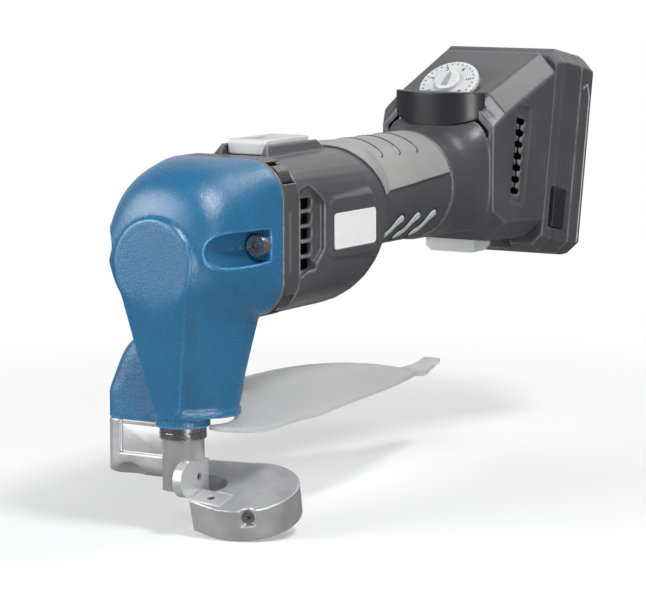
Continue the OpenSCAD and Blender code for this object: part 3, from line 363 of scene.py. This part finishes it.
def head_soft(place):
    """How far the cast head flows at a place.

    Full on the dome and flanks, none at the panel's outline, the scoops, the rooms, the flange and the foot.
    """
    x, y, z = place
    if math.hypot(x, z - SHAFT_Z) < GEAR_ROOM_R and y > GEAR_ROOM_Y:
        return 0.0
    if math.hypot(x, y) < BUSH_ROOM_R and z < BUSH_ROOM_TOP and y > BUSH_ROOM_Y:
        return 0.0
    off = off_panel(x, z)
    neck = step(*NECK_Z, z)
    start, full = (a + neck * (b - a) for a, b in zip(FLOW_OFF_PANEL, FLOW_OFF_NECK))
    edge = EDGE_SHARE * step(*EDGE_X, x) * step(*EDGE_OFF, abs(off))
    inside = step(*FLOW_ON_PANEL, off) * step(*FLOW_ON_PANEL_Y, y)
    flow = max(step(start, full, off), step(*FLOW_BEHIND, y), edge, inside)
    scoop = step(*FLOW_OFF_SCOOP, math.hypot(abs(x) - SCOOP_X, z - SCOOP_Z) - SCOOP_R)
    return flow * scoop * step(*FLOW_OFF_FLANGE, y) * step(*FLOW_OFF_FOOT, z)


SKINS = {  # voxel size and smoothing passes
    "gear_plate": (0.5, 2),
    "left_shell": (0.62, 2),
    "right_shell": (0.62, 2),
    "rear_housing": (0.74, 5),
    "visor": (0.3, 3),
    "soft_grip": (0.38, 2),
    "slide_switch": (0.3, 4),
    "rest_foot": (0.35, 4),
    "battery_case": (0.55, 2),
    "battery_cover": (0.5, 4),
    "lower_arm": (0.4, 4),
    "left_button": (0.25, 3),
    "right_button": (0.25, 3),
    "upper_blade": (0.2, 1),
    "lower_blade": (0.2, 1),
}
for name, (voxel, passes) in SKINS.items():
    skin(name, voxel, passes)
HEAD_VOXEL, HEAD_PASSES, HEAD_FLOW_PASSES = 0.62, 3, 315
skin("head_housing", HEAD_VOXEL, HEAD_PASSES, head_soft, HEAD_FLOW_PASSES)

WELD = 0.001
GUARD_ROUND, RAM_ROUND, SCREW_ROUND = 0.5, 0.3, 0.25
BEVEL_STEPS, BEVEL_OVER, BEVEL_SHARP = 3, math.radians(40), math.radians(35)


def bevelled(node, width, reshape=None):
    """Replaces a CAD node by a copy with small rounds on its sharp edges; reshape may move its points."""
    obj = copy_of(node)
    weld = obj.modifiers.new("weld", "WELD")
    weld.merge_threshold = WELD * MM
    bevel = obj.modifiers.new("bevel", "BEVEL")
    bevel.width = width * MM
    bevel.segments = BEVEL_STEPS
    bevel.limit_method = "ANGLE"
    bevel.angle_limit = BEVEL_OVER
    bevel.use_clamp_overlap = True
    mesh = baked(obj)
    if reshape:
        for v in mesh.vertices:
            v.co = reshape(v.co)
        mesh.update()
    mesh.shade_smooth()
    mesh.set_sharp_from_angle(angle=BEVEL_SHARP)
    paint(obj, finish_of(node))
    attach(obj, body_of[node])
    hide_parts(node)


# The guard's sheet as the CAD has it: its ridge line with the raised tongue, its arch and its width
GUARD_T = 2.0
GUARD_RIDGE, GUARD_PEAK_Y, GUARD_BOW_R = -66.3, 70.0, 513.0
TONGUE_Y, TONGUE_R = 172.0, 50.0
GUARD_ARCH_R, GUARD_FLATTEN = 36.0, 0.4
GUARD_WIDE_END, GUARD_END = 55.0, 201.0
GUARD_HALF, GUARD_TIP, GUARD_TAPER = 28.0, 2.5, 1.15
# The leaf outline it gets here, with its sag, its lowered front and the edge drawn in under the head's foot
LEAF_START, LEAF_LEN = 15.0, 165.0
LEAF_HALF, LEAF_TIP, LEAF_BLEND = 30.3, 4.0, 3.0
LEAF_TAPER, LEAF_POINT, LEAF_NOSE = 0.2, 0.68, 0.006
SAG_START, SAG = 60.0, 0.00014
FRONT_Z, FRONT_Y, FRONT_END = -76.6, -2.0, 22.0
FOOT_X, FOOT_Y, FOOT_R, FOOT_REACH, FOOT_PULL = 5.5, 8.0, 14.3, 9.0, 4.0


def sheet_ridge(y):
    bow = (y - GUARD_PEAK_Y) ** 2 / (2 * GUARD_BOW_R)
    return GUARD_RIDGE - bow + max(y - TONGUE_Y, 0.0) ** 2 / (2 * TONGUE_R)


def sheet_drop(x, y):
    """How far the arched sheet falls from its ridge."""
    return x * x / (2 * (GUARD_ARCH_R + GUARD_FLATTEN * max(GUARD_WIDE_END - y, 0.0)))


def sheet_half(y):
    run = max(y - GUARD_WIDE_END, 0.0) / (GUARD_END - GUARD_WIDE_END)
    return GUARD_HALF - (GUARD_HALF - GUARD_TIP) * run ** GUARD_TAPER


def leaf_half(y):
    """Half the width of the leaf: full behind the head, then a smooth run down to the tongue."""
    t = max(y - LEAF_START, 0.0) / LEAF_LEN
    leaf = LEAF_HALF * (1.0 - LEAF_TAPER * t - LEAF_POINT * t ** 4)
    leaf -= LEAF_NOSE * max(LEAF_START - y, 0.0) ** 2
    return 0.5 * (leaf + LEAF_TIP + math.hypot(leaf - LEAF_TIP, LEAF_BLEND))


def leaf_point(co):
    """Moves a point of the guard's sheet so that its outline runs as one smooth leaf."""
    x, y, z = (co - ORIGIN) / MM
    old = sheet_ridge(y) - sheet_drop(x, y)
    level = min(max((z - old) / GUARD_T + 1.0, 0.0), 1.0)
    half = sheet_half(y)
    x += math.copysign((leaf_half(y) - half) * min(abs(x) / half, 1.0) ** 2, x)
    new = sheet_ridge(y) - SAG * max(y - SAG_START, 0.0) ** 2 - sheet_drop(x, y)
    new += (FRONT_Z - new) * step(FRONT_END, FRONT_Y, y)
    off = Vector((x - FOOT_X, y - FOOT_Y))
    pull = FOOT_PULL * min(max(1 - (off.length - FOOT_R) / FOOT_REACH, 0.0), 1.0)
    x, y = x - pull * off.x / off.length, y - pull * off.y / off.length
    return at(x, y, new + (level - 1.0) * GUARD_T)


bevelled("hand_guard", GUARD_ROUND, leaf_point)
bevelled("ram", RAM_ROUND)
bevelled("head_screws", SCREW_ROUND)


# Pieces built here

def piece(name, mesh, slot, node, hides=True):
    """Adds a mesh that rides with a CAD node's body, in place of that node or beside it."""
    obj = bpy.data.objects.new(name, mesh)
    bpy.context.scene.collection.objects.link(obj)
    paint(obj, slot)
    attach(obj, body_of[node])
    if hides:
        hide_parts(node)


def from_lists(name, points, faces, smooth_angle):
    mesh = bpy.data.meshes.new(name)
    mesh.from_pydata(points, [], faces)
    mesh.validate()
    mesh.update()
    mesh.shade_smooth()
    mesh.set_sharp_from_angle(angle=math.radians(smooth_angle))
    return mesh


def tube_faces(rings, sides, base=0):
    """Faces of a closed tube whose rings of points follow each other from base."""
    faces = []
    for k in range(rings - 1):
        for j in range(sides):
            a, b = base + sides * k + j, base + sides * k + (j + 1) % sides
            faces.append((a, b, b + sides, a + sides))
    faces.append(tuple(reversed(range(base, base + sides))))
    faces.append(tuple(range(base + sides * (rings - 1), base + sides * rings)))
    return faces


# Speed dial: places on it are to the side, up its face and out of it
DIAL_AT = Vector(JOINTS["dial_turn"]["pos_m"])
DIAL_UP = Vector(JOINTS["dial_turn"]["axis"]).normalized()
DIAL_SIDE = Vector((1.0, 0.0, 0.0))
DIAL_BACK = DIAL_UP.cross(DIAL_SIDE)
DIAL_PROFILE = [(13.2, 0.3), (13.8, 0.7), (13.95, 1.2), (13.95, 2.4), (13.7, 2.95), (13.0, 3.25),
                (12.4, 3.3), (12.1, 3.2), (7.0, 3.15), (6.0, 3.2), (5.9, 3.6), (5.8, 4.9), (5.4, 5.2),
                (4.4, 5.25)]  # radius and height
RIBS, RIB_STEPS, RIB_DEPTH, RIB_FROM_R = 40, 6, 0.35, 13.1
POINTER = [(-1.9, -4.2), (1.9, -4.2), (1.5, 1.5), (0.0, 5.2), (-1.5, 1.5)]
POINTER_FOOT, POINTER_TOP, POINTER_SLIM, POINTER_SHORT = 5.0, 5.9, 0.55, 0.86
NUMBERS, NUMBER_SIZE, NUMBER_T, NUMBER_R, NUMBER_Z = 6, 3.4, 0.06, 9.4, 3.2
TICKS, TICK_Z = 20, (3.1, 3.32)
TICK = [(-0.25, 11.4), (0.25, 11.4), (0.25, 12.2), (-0.25, 12.2)]
SWEEP = math.radians(250)


def on_dial(x, y, z, turn=0.0):
    """A point on the dial, turned clockwise about its middle."""
    c, s = math.cos(turn), math.sin(turn)
    return DIAL_AT + (DIAL_SIDE * (c * x + s * y) + DIAL_BACK * (c * y - s * x) + DIAL_UP * z) * MM


def dial_mesh():
    """Disc with a ribbed rim, a shallow dished face and a round knob in its middle."""
    steps = RIBS * RIB_STEPS
    points = []
    for r, z in DIAL_PROFILE:
        for i in range(steps):
            a = 2 * math.pi * i / steps
            rib = RIB_DEPTH * max(0.0, math.cos(a * RIBS)) if r > RIB_FROM_R else 0.0
            points.append(on_dial((r - rib) * math.cos(a), (r - rib) * math.sin(a), z))
    return from_lists("dial", points, tube_faces(len(DIAL_PROFILE), steps), smooth_angle=35)


def pointer_mesh():
    """Ridge across the knob that a thumb turns, narrowing to the mark."""
    points = [on_dial(x, y, POINTER_FOOT) for x, y in POINTER]
    points += [on_dial(POINTER_SLIM * x, POINTER_SHORT * y, POINTER_TOP) for x, y in POINTER]
    return from_lists("dial_pointer", points, tube_faces(2, len(POINTER)), smooth_angle=20)


def number_mesh(text, turn):
    """A plain number that stands a hair above the dial's face."""
    curve = bpy.data.curves.new("number", "FONT")
    curve.body = text
    curve.size = NUMBER_SIZE
    curve.extrude = NUMBER_T
    curve.align_x = "CENTER"
    curve.align_y = "CENTER"
    obj = bpy.data.objects.new("number", curve)
    bpy.context.scene.collection.objects.link(obj)
    graph = bpy.context.evaluated_depsgraph_get()
    mesh = bpy.data.meshes.new_from_object(obj.evaluated_get(graph))
    bpy.data.objects.remove(obj)
    for v in mesh.vertices:
        v.co = on_dial(v.co.x, v.co.y + NUMBER_R, NUMBER_Z + v.co.z, turn)
    return mesh


def tick_mesh():
    """Short marks round the dial's face, over its whole sweep."""
    points, faces = [], []
    for i in range(TICKS + 1):
        faces += tube_faces(len(TICK_Z), len(TICK), len(points))
        points += [on_dial(x, y, z, SWEEP * (i / TICKS - 0.5)) for z in TICK_Z for x, y in TICK]
    return from_lists("dial_ticks", points, faces, smooth_angle=40)


piece("dial_disc", dial_mesh(), "light_trim", "speed_dial")
piece("dial_pointer", pointer_mesh(), "soft_panel", "speed_dial", hides=False)
for i in range(NUMBERS):
    digits = number_mesh(str(i + 1), SWEEP * (i / (NUMBERS - 1) - 0.5))
    piece("dial_number_%d" % (i + 1), digits, "black_plastic", "speed_dial", hides=False)
piece("dial_ticks", tick_mesh(), "black_plastic", "speed_dial", hides=False)


# Plates: each step of their edge is how far the outline grows and how high it lies
LABEL_CORNER, LABEL_CORNER_STEPS = 1.8, 8
LABEL_STEPS = [(0.0, -0.45), (0.0, 0.3), (-0.25, 0.45), (-0.7, 0.45), (-0.85, 0.36), (-1.2, 0.36)]
# The milled recess in the front of the arm's post
FACE_X, FACE_Y, FACE_Z = (-29.8, -9.8), 1.2, (-91.1, -80.2)
FACE_CORNER, FACE_CORNER_STEPS = 0.6, 4
FACE_STEPS = [(0.0, 0.2), (0.0, -0.04), (-0.12, -0.08)]


def rounded_outline(w, h, r, per_corner):
    """Points round a rectangle with round corners, about its middle."""
    points = []
    for cx, cy, start in ((1, 1, 0), (-1, 1, 90), (-1, -1, 180), (1, -1, 270)):
        for i in range(per_corner + 1):
            a = math.radians(start + 90 * i / per_corner)
            points.append((cx * (w / 2 - r) + r * math.cos(a), cy * (h / 2 - r) + r * math.sin(a)))
    return points


def plate_mesh(name, w, h, corner, per_corner, steps, place):
    """Closed plate with round corners; place turns a point of the outline and its height into a place."""
    points = []
    for grow, height in steps:
        row = rounded_outline(w + 2 * grow, h + 2 * grow, corner + grow, per_corner)
        points += [place(a, b, height) for a, b in row]
    return from_lists(name, points, tube_faces(len(steps), len(row)), smooth_angle=30)


def label_mesh():
    """Bare plate with a low raised border."""
    low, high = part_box("label_plate")
    size, mid = (high - low) / MM, (low + high) / 2
    return plate_mesh("label", size.y, size.z, LABEL_CORNER, LABEL_CORNER_STEPS, LABEL_STEPS,
                      lambda y, z, x: mid + Vector((x, y, z)) * MM)


def post_face_mesh():
    """Thin bright layer on the floor of the milled recess, where the tool has left bare steel."""
    mid = at(sum(FACE_X) / 2, FACE_Y, sum(FACE_Z) / 2)
    w, h = FACE_X[1] - FACE_X[0], FACE_Z[1] - FACE_Z[0]
    return plate_mesh("post_face", w, h, FACE_CORNER, FACE_CORNER_STEPS, FACE_STEPS,
                      lambda x, z, y: mid + Vector((x, y, z)) * MM)


piece("label_bare", label_mesh(), "white_plate", "label_plate")
piece("post_face", post_face_mesh(), "blade_steel", "lower_arm", hides=False)


# Grip: its stripes and grooves follow the round of the barrel
GRIP_R, GRIP_Z = 23.0, 2.0
STRIPE_AT = [(132.0 + 14.0 * i, -12.0) for i in range(3)]
STRIPE_TURN = math.radians(35)
STRIPE_DEPTH, STRIPE_WAVE, STRIPE_EDGE, STRIPE_BLUNT = 0.5, 1.2, 0.25, 0.03
STRIPE_ALONG, STRIPE_ACROSS = 36, 8
STRIPE_FILL, STRIPE_OUTLINE = (7.2, 2.2, 0.5), (8.4, 3.3, 0.3)  # half length, half width and rise
GROOVE_R = GRIP_R + 1.0
GROOVE_AT = [128.6 + 15.0 * i for i in range(3)]
# Turns from the top of the grip in degrees, and places along it
GROOVE_HOOK = [(46, -3.6), (44.5, -1.6), (41, -0.4)]
GROOVE_OVER = [(36 - 6 * i, 0.0) for i in range(13)]
GROOVE_PATH = GROOVE_HOOK + GROOVE_OVER + [(-a, b) for a, b in reversed(GROOVE_HOOK)]
LINE_R, LINE_FLAT, LINE_SIDES = 0.42, 0.5, 6


def stripe_points(side, cy, cz, half_len, half_w, rise):
    """One stripe's upper and lower sheet of points, row by row along it."""
    along, across = STRIPE_ALONG, STRIPE_ACROSS
    c, s = math.cos(STRIPE_TURN), math.sin(STRIPE_TURN)
    points = []
    for sink in (0.0, STRIPE_DEPTH):
        for i in range(along + 1):
            run = 2 * i / along - 1
            end = max(0.0, 1 - (1 - abs(run)) * half_len / half_w)
            wide = half_w * math.sqrt(max(STRIPE_BLUNT, 1 - end * end))
            for j in range(across + 1):
                u = run * half_len
                v = wide * (2 * j / across - 1) + STRIPE_WAVE * math.sin(math.pi * run)
                y, z = cy + u * c - v * s, cz + u * s + v * c
                edge = STRIPE_EDGE if j in (0, across) or i in (0, along) else 0.0
                r = GRIP_R + rise - edge - sink
                points.append(at(side * math.sqrt(r * r - (z - GRIP_Z) ** 2), y, z))
    return points


def stripe_faces(base):
    """Faces of one stripe: its two sheets and the rim between them."""
    along, across = STRIPE_ALONG, STRIPE_ACROSS
    row = across + 1
    sheet = row * (along + 1)
    faces = []
    for i in range(along):
        for j in range(across):
            a = base + i * row + j
            faces.append((a, a + 1, a + row + 1, a + row))
            faces.append((a + sheet, a + sheet + row, a + sheet + row + 1, a + sheet + 1))
    rim = [base + j for j in range(row)]
    rim += [base + i * row + across for i in range(1, along + 1)]
    rim += [base + along * row + j for j in range(across - 1, -1, -1)]
    rim += [base + i * row for i in range(along - 1, 0, -1)]
    return faces + [(a, a + sheet, b + sheet, b) for a, b in zip(rim, rim[1:] + rim[:1])]


def stripe_mesh(name, half_len, half_w, rise):
    """Wavy inlays on both flanks of the grip, bent to its curve and let a little way into it."""
    points, faces = [], []
    for side in (-1, 1):
        for cy, cz in STRIPE_AT:
            faces += [f if side < 0 else f[::-1] for f in stripe_faces(len(points))]
            points += stripe_points(side, cy, cz, half_len, half_w, rise)
    return from_lists(name, points, faces, smooth_angle=50)


def neighbours(path, k):
    """The points before and after one on an open path, or itself at an end."""
    return path[max(k - 1, 0)], path[min(k + 1, len(path) - 1)]


def groove_shade_mesh():
    """Painted shade: a dark line along each groove over the top of the soft panel, hooked forward at both
    ends.
    """
    points, faces = [], []
    for start in GROOVE_AT:
        faces += tube_faces(len(GROOVE_PATH), LINE_SIDES, len(points))
        for k, (turn, along) in enumerate(GROOVE_PATH):
            (a0, y0), (a1, y1) = neighbours(GROOVE_PATH, k)
            run = Vector((math.radians(a1 - a0) * GROOVE_R, y1 - y0)).normalized()
            a = math.radians(turn)
            out = Vector((math.sin(a), 0.0, math.cos(a)))
            side = Vector((math.cos(a), 0.0, -math.sin(a))) * run.y - Vector((0.0, 1.0, 0.0)) * run.x
            for j in range(LINE_SIDES):
                b = 2 * math.pi * j / LINE_SIDES
                p = out * (GROOVE_R + LINE_FLAT * LINE_R * math.cos(b)) + side * (LINE_R * math.sin(b))
                points.append(at(p.x, start + along + p.y, GRIP_Z + p.z))
    return from_lists("grip_groove_shade", points, faces, smooth_angle=60)


piece("stripe_fill", stripe_mesh("stripe_fill", *STRIPE_FILL), "light_trim", "stripe_inserts")
piece("stripe_outline", stripe_mesh("stripe_outline", *STRIPE_OUTLINE), "black_plastic", "stripe_inserts",
      hides=False)
# Dark lines painted into the grooves as their shade.
piece("grip_groove_shade", groove_shade_mesh(), "black_plastic", "soft_grip", hides=False)


# Battery: places on it are across it, to its back and up along its leaning rail
PACK_UP = Vector(JOINTS["pack_slide"]["axis"]).normalized()
PACK_BACK = Vector((0.0, PACK_UP.z, -PACK_UP.y))
PACK_AT = at(0.0, 252.5, 0.0)
PACK_SIDE = 33.0
ACCENT = [(31.6, -24.0), (32.2, -26.0), (32.2, 41.4), (29.4, 47.0), (25.6, 44.6)]
ACCENT_HALF, ACCENT_BOTTOM, ACCENT_TOP = 0.28, -0.7, -0.3
ACCENT_SECTION = [(-ACCENT_HALF, ACCENT_BOTTOM), (-ACCENT_HALF, ACCENT_TOP),
                  (ACCENT_HALF, ACCENT_TOP), (ACCENT_HALF, ACCENT_BOTTOM)]


def in_pack(x, y, z):
    return PACK_AT + (Vector((x, 0, 0)) + PACK_BACK * y + PACK_UP * z) * MM


def accent_mesh():
    """Fine bright line let into each side panel of the pack, along its rear and upper edges."""
    points, faces = [], []
    for side in (-1, 1):
        tube = tube_faces(len(ACCENT), len(ACCENT_SECTION), len(points))
        faces += [f if side > 0 else f[::-1] for f in tube]
        for k, (y, z) in enumerate(ACCENT):
            (y0, z0), (y1, z1) = neighbours(ACCENT, k)
            run = Vector((y1 - y0, z1 - z0)).normalized()
            for off, x in ACCENT_SECTION:
                points.append(in_pack(side * (PACK_SIDE + x), y - run.y * off, z + run.x * off))
    return from_lists("pack_accent", points, faces, smooth_angle=30)


piece("pack_accent", accent_mesh(), "light_trim", "battery_cover", hides=False)


# Studio: sizes are in metres, levels are shares of white

AMBIENT = 0.1
# What mirror rays see: white behind the object that falls off to the sides, and a dim floor
GLOSS_LOW, GLOSS_HIGH, GLOSS_FALL = 0.1, 0.6, (0.45, 1.0)
GLOSS_FLOOR = 0.12
FLOOR_HALF, FLOOR_Z = 6.0, -0.0002
FLOOR_LIFT, FLOOR_FADE = 0.35, (0.15, 0.45)
FLOOR_GREY, FLOOR_ROUGH, FLOOR_SHEEN = (0.64, 0.64, 0.64), 0.9, 0.1
WHITE = (1.0, 1.0, 1.0, 1.0)
AIM = at(0, 110, -30)
LAMPS = {  # place in millimetres, size and watts
    "key": ((-780, -820, 460), (1.0, 1.0), 14.5),
    "top": ((500, -140, 800), (0.22, 0.22), 5.8),
    "strip": ((840, -540, -40), (0.1, 0.16), 3.6),
    "side": ((300, 660, 740), (0.35, 0.35), 2.2),
    "back": ((-100, 950, 600), (0.8, 0.8), 1.0),
}


def area_light(name, place, size, energy):
    data = bpy.data.lights.new(name, "AREA")
    data.shape = "RECTANGLE"
    data.size, data.size_y = size
    data.energy = energy
    obj = bpy.data.objects.new(name, data)
    obj.location = place
    obj.rotation_mode = "QUATERNION"
    obj.rotation_quaternion = (AIM - place).to_track_quat("-Z", "Y")
    bpy.context.scene.collection.objects.link(obj)


def smooth_range(tree, value, start, end, low=0.0, high=1.0):
    node = tree.nodes.new("ShaderNodeMapRange")
    node.interpolation_type = "SMOOTHSTEP"
    node.inputs["From Min"].default_value = start
    node.inputs["From Max"].default_value = end
    node.inputs["To Min"].default_value = low
    node.inputs["To Max"].default_value = high
    tree.links.new(value, node.inputs["Value"])
    return node.outputs["Result"]


def ray_kinds(tree):
    """1 for rays that look straight or through clear plastic, and 1 for mirror rays."""
    path = tree.nodes.new("ShaderNodeLightPath")
    straight = combine(tree, "MAXIMUM", path.outputs["Is Camera Ray"], path.outputs["Is Transmission Ray"])
    return straight, path.outputs["Is Glossy Ray"]


def make_world():
    """White wherever the camera looks; mirror rays see white at the back that falls off to the sides."""
    world = bpy.data.worlds.new("studio")
    world.use_nodes = True
    tree = world.node_tree
    back = tree.nodes["Background"]
    back.inputs["Color"].default_value = WHITE
    straight, mirror = ray_kinds(tree)
    coord = tree.nodes.new("ShaderNodeTexCoord")
    facing = tree.nodes.new("ShaderNodeVectorMath")
    facing.operation = "DOT_PRODUCT"
    facing.inputs[1].default_value = (-math.sin(AZIMUTH), math.cos(AZIMUTH), 0.0)
    tree.links.new(coord.outputs["Generated"], facing.inputs[0])
    fall = smooth_range(tree, facing.outputs["Value"], *GLOSS_FALL, GLOSS_LOW, GLOSS_HIGH)
    white = combine(tree, "MAXIMUM", combine(tree, "MULTIPLY", mirror, fall), straight)
    tree.links.new(combine(tree, "MAXIMUM", white, AMBIENT), back.inputs["Strength"])
    bpy.context.scene.world = world


def make_floor():
    """Pale floor that takes the object's shadow and runs out into the white background."""
    mesh = bpy.data.meshes.new("floor")
    corners = [(-1, -1), (1, -1), (1, 1), (-1, 1)]
    mesh.from_pydata([(x * FLOOR_HALF, y * FLOOR_HALF, 0) for x, y in corners], [], [(0, 1, 2, 3)])
    floor = bpy.data.objects.new("floor", mesh)
    floor.location.z = FLOOR_Z
    bpy.context.scene.collection.objects.link(floor)
    mat, tree, bsdf = shader("floor", FLOOR_GREY, FLOOR_ROUGH)
    bsdf.inputs["Specular IOR Level"].default_value = FLOOR_SHEEN
    bsdf.inputs["Emission Color"].default_value = WHITE
    straight, mirror = ray_kinds(tree)
    tree.links.new(combine(tree, "MULTIPLY", straight, FLOOR_LIFT), bsdf.inputs["Emission Strength"])
    coord = tree.nodes.new("ShaderNodeTexCoord")
    far = tree.nodes.new("ShaderNodeVectorMath")
    far.operation = "LENGTH"
    tree.links.new(coord.outputs["Object"], far.inputs[0])
    fade = smooth_range(tree, far.outputs["Value"], *FLOOR_FADE)
    white = tree.nodes.new("ShaderNodeEmission")
    tree.links.new(smooth_range(tree, mirror, 0.0, 1.0, 1.0, GLOSS_FLOOR), white.inputs["Strength"])
    mix = tree.nodes.new("ShaderNodeMixShader")
    share = combine(tree, "MAXIMUM", combine(tree, "MULTIPLY", fade, straight), mirror)
    tree.links.new(share, mix.inputs["Fac"])
    tree.links.new(bsdf.outputs["BSDF"], mix.inputs[1])
    tree.links.new(white.outputs["Emission"], mix.inputs[2])
    tree.links.new(mix.outputs["Shader"], tree.nodes["Material Output"].inputs["Surface"])
    mesh.materials.append(mat)


def make_camera():
    """The photograph's camera, placed so that the frame's origin falls on its pixel."""
    flat = math.cos(ELEVATION)
    right = Vector((math.cos(AZIMUTH), math.sin(AZIMUTH), 0.0))
    back = Vector((math.sin(AZIMUTH) * flat, -math.cos(AZIMUTH) * flat, math.sin(ELEVATION)))
    up = back.cross(right)
    data = bpy.data.cameras.new("camera")
    data.sensor_width = SENSOR
    data.lens = FOCAL_PX * SENSOR / PHOTO_W
    data.clip_start, data.clip_end = CLIP
    cam = bpy.data.objects.new("camera", data)
    per_px = DISTANCE / FOCAL_PX
    place = ORIGIN + right * (PHOTO_W / 2 - RAM_PX) * per_px
    place += up * (RAM_PY - PHOTO_H / 2) * per_px
    cam.location = place + back * DISTANCE
    cam.rotation_mode = "QUATERNION"
    cam.rotation_quaternion = (-back).to_track_quat("-Z", "Y")
    bpy.context.scene.collection.objects.link(cam)
    bpy.context.scene.camera = cam


make_world()
make_floor()
make_camera()
for name, (place, size, watts) in LAMPS.items():
    area_light(name, at(*place), size, watts)
bpy.context.scene.view_settings.view_transform = "Standard"
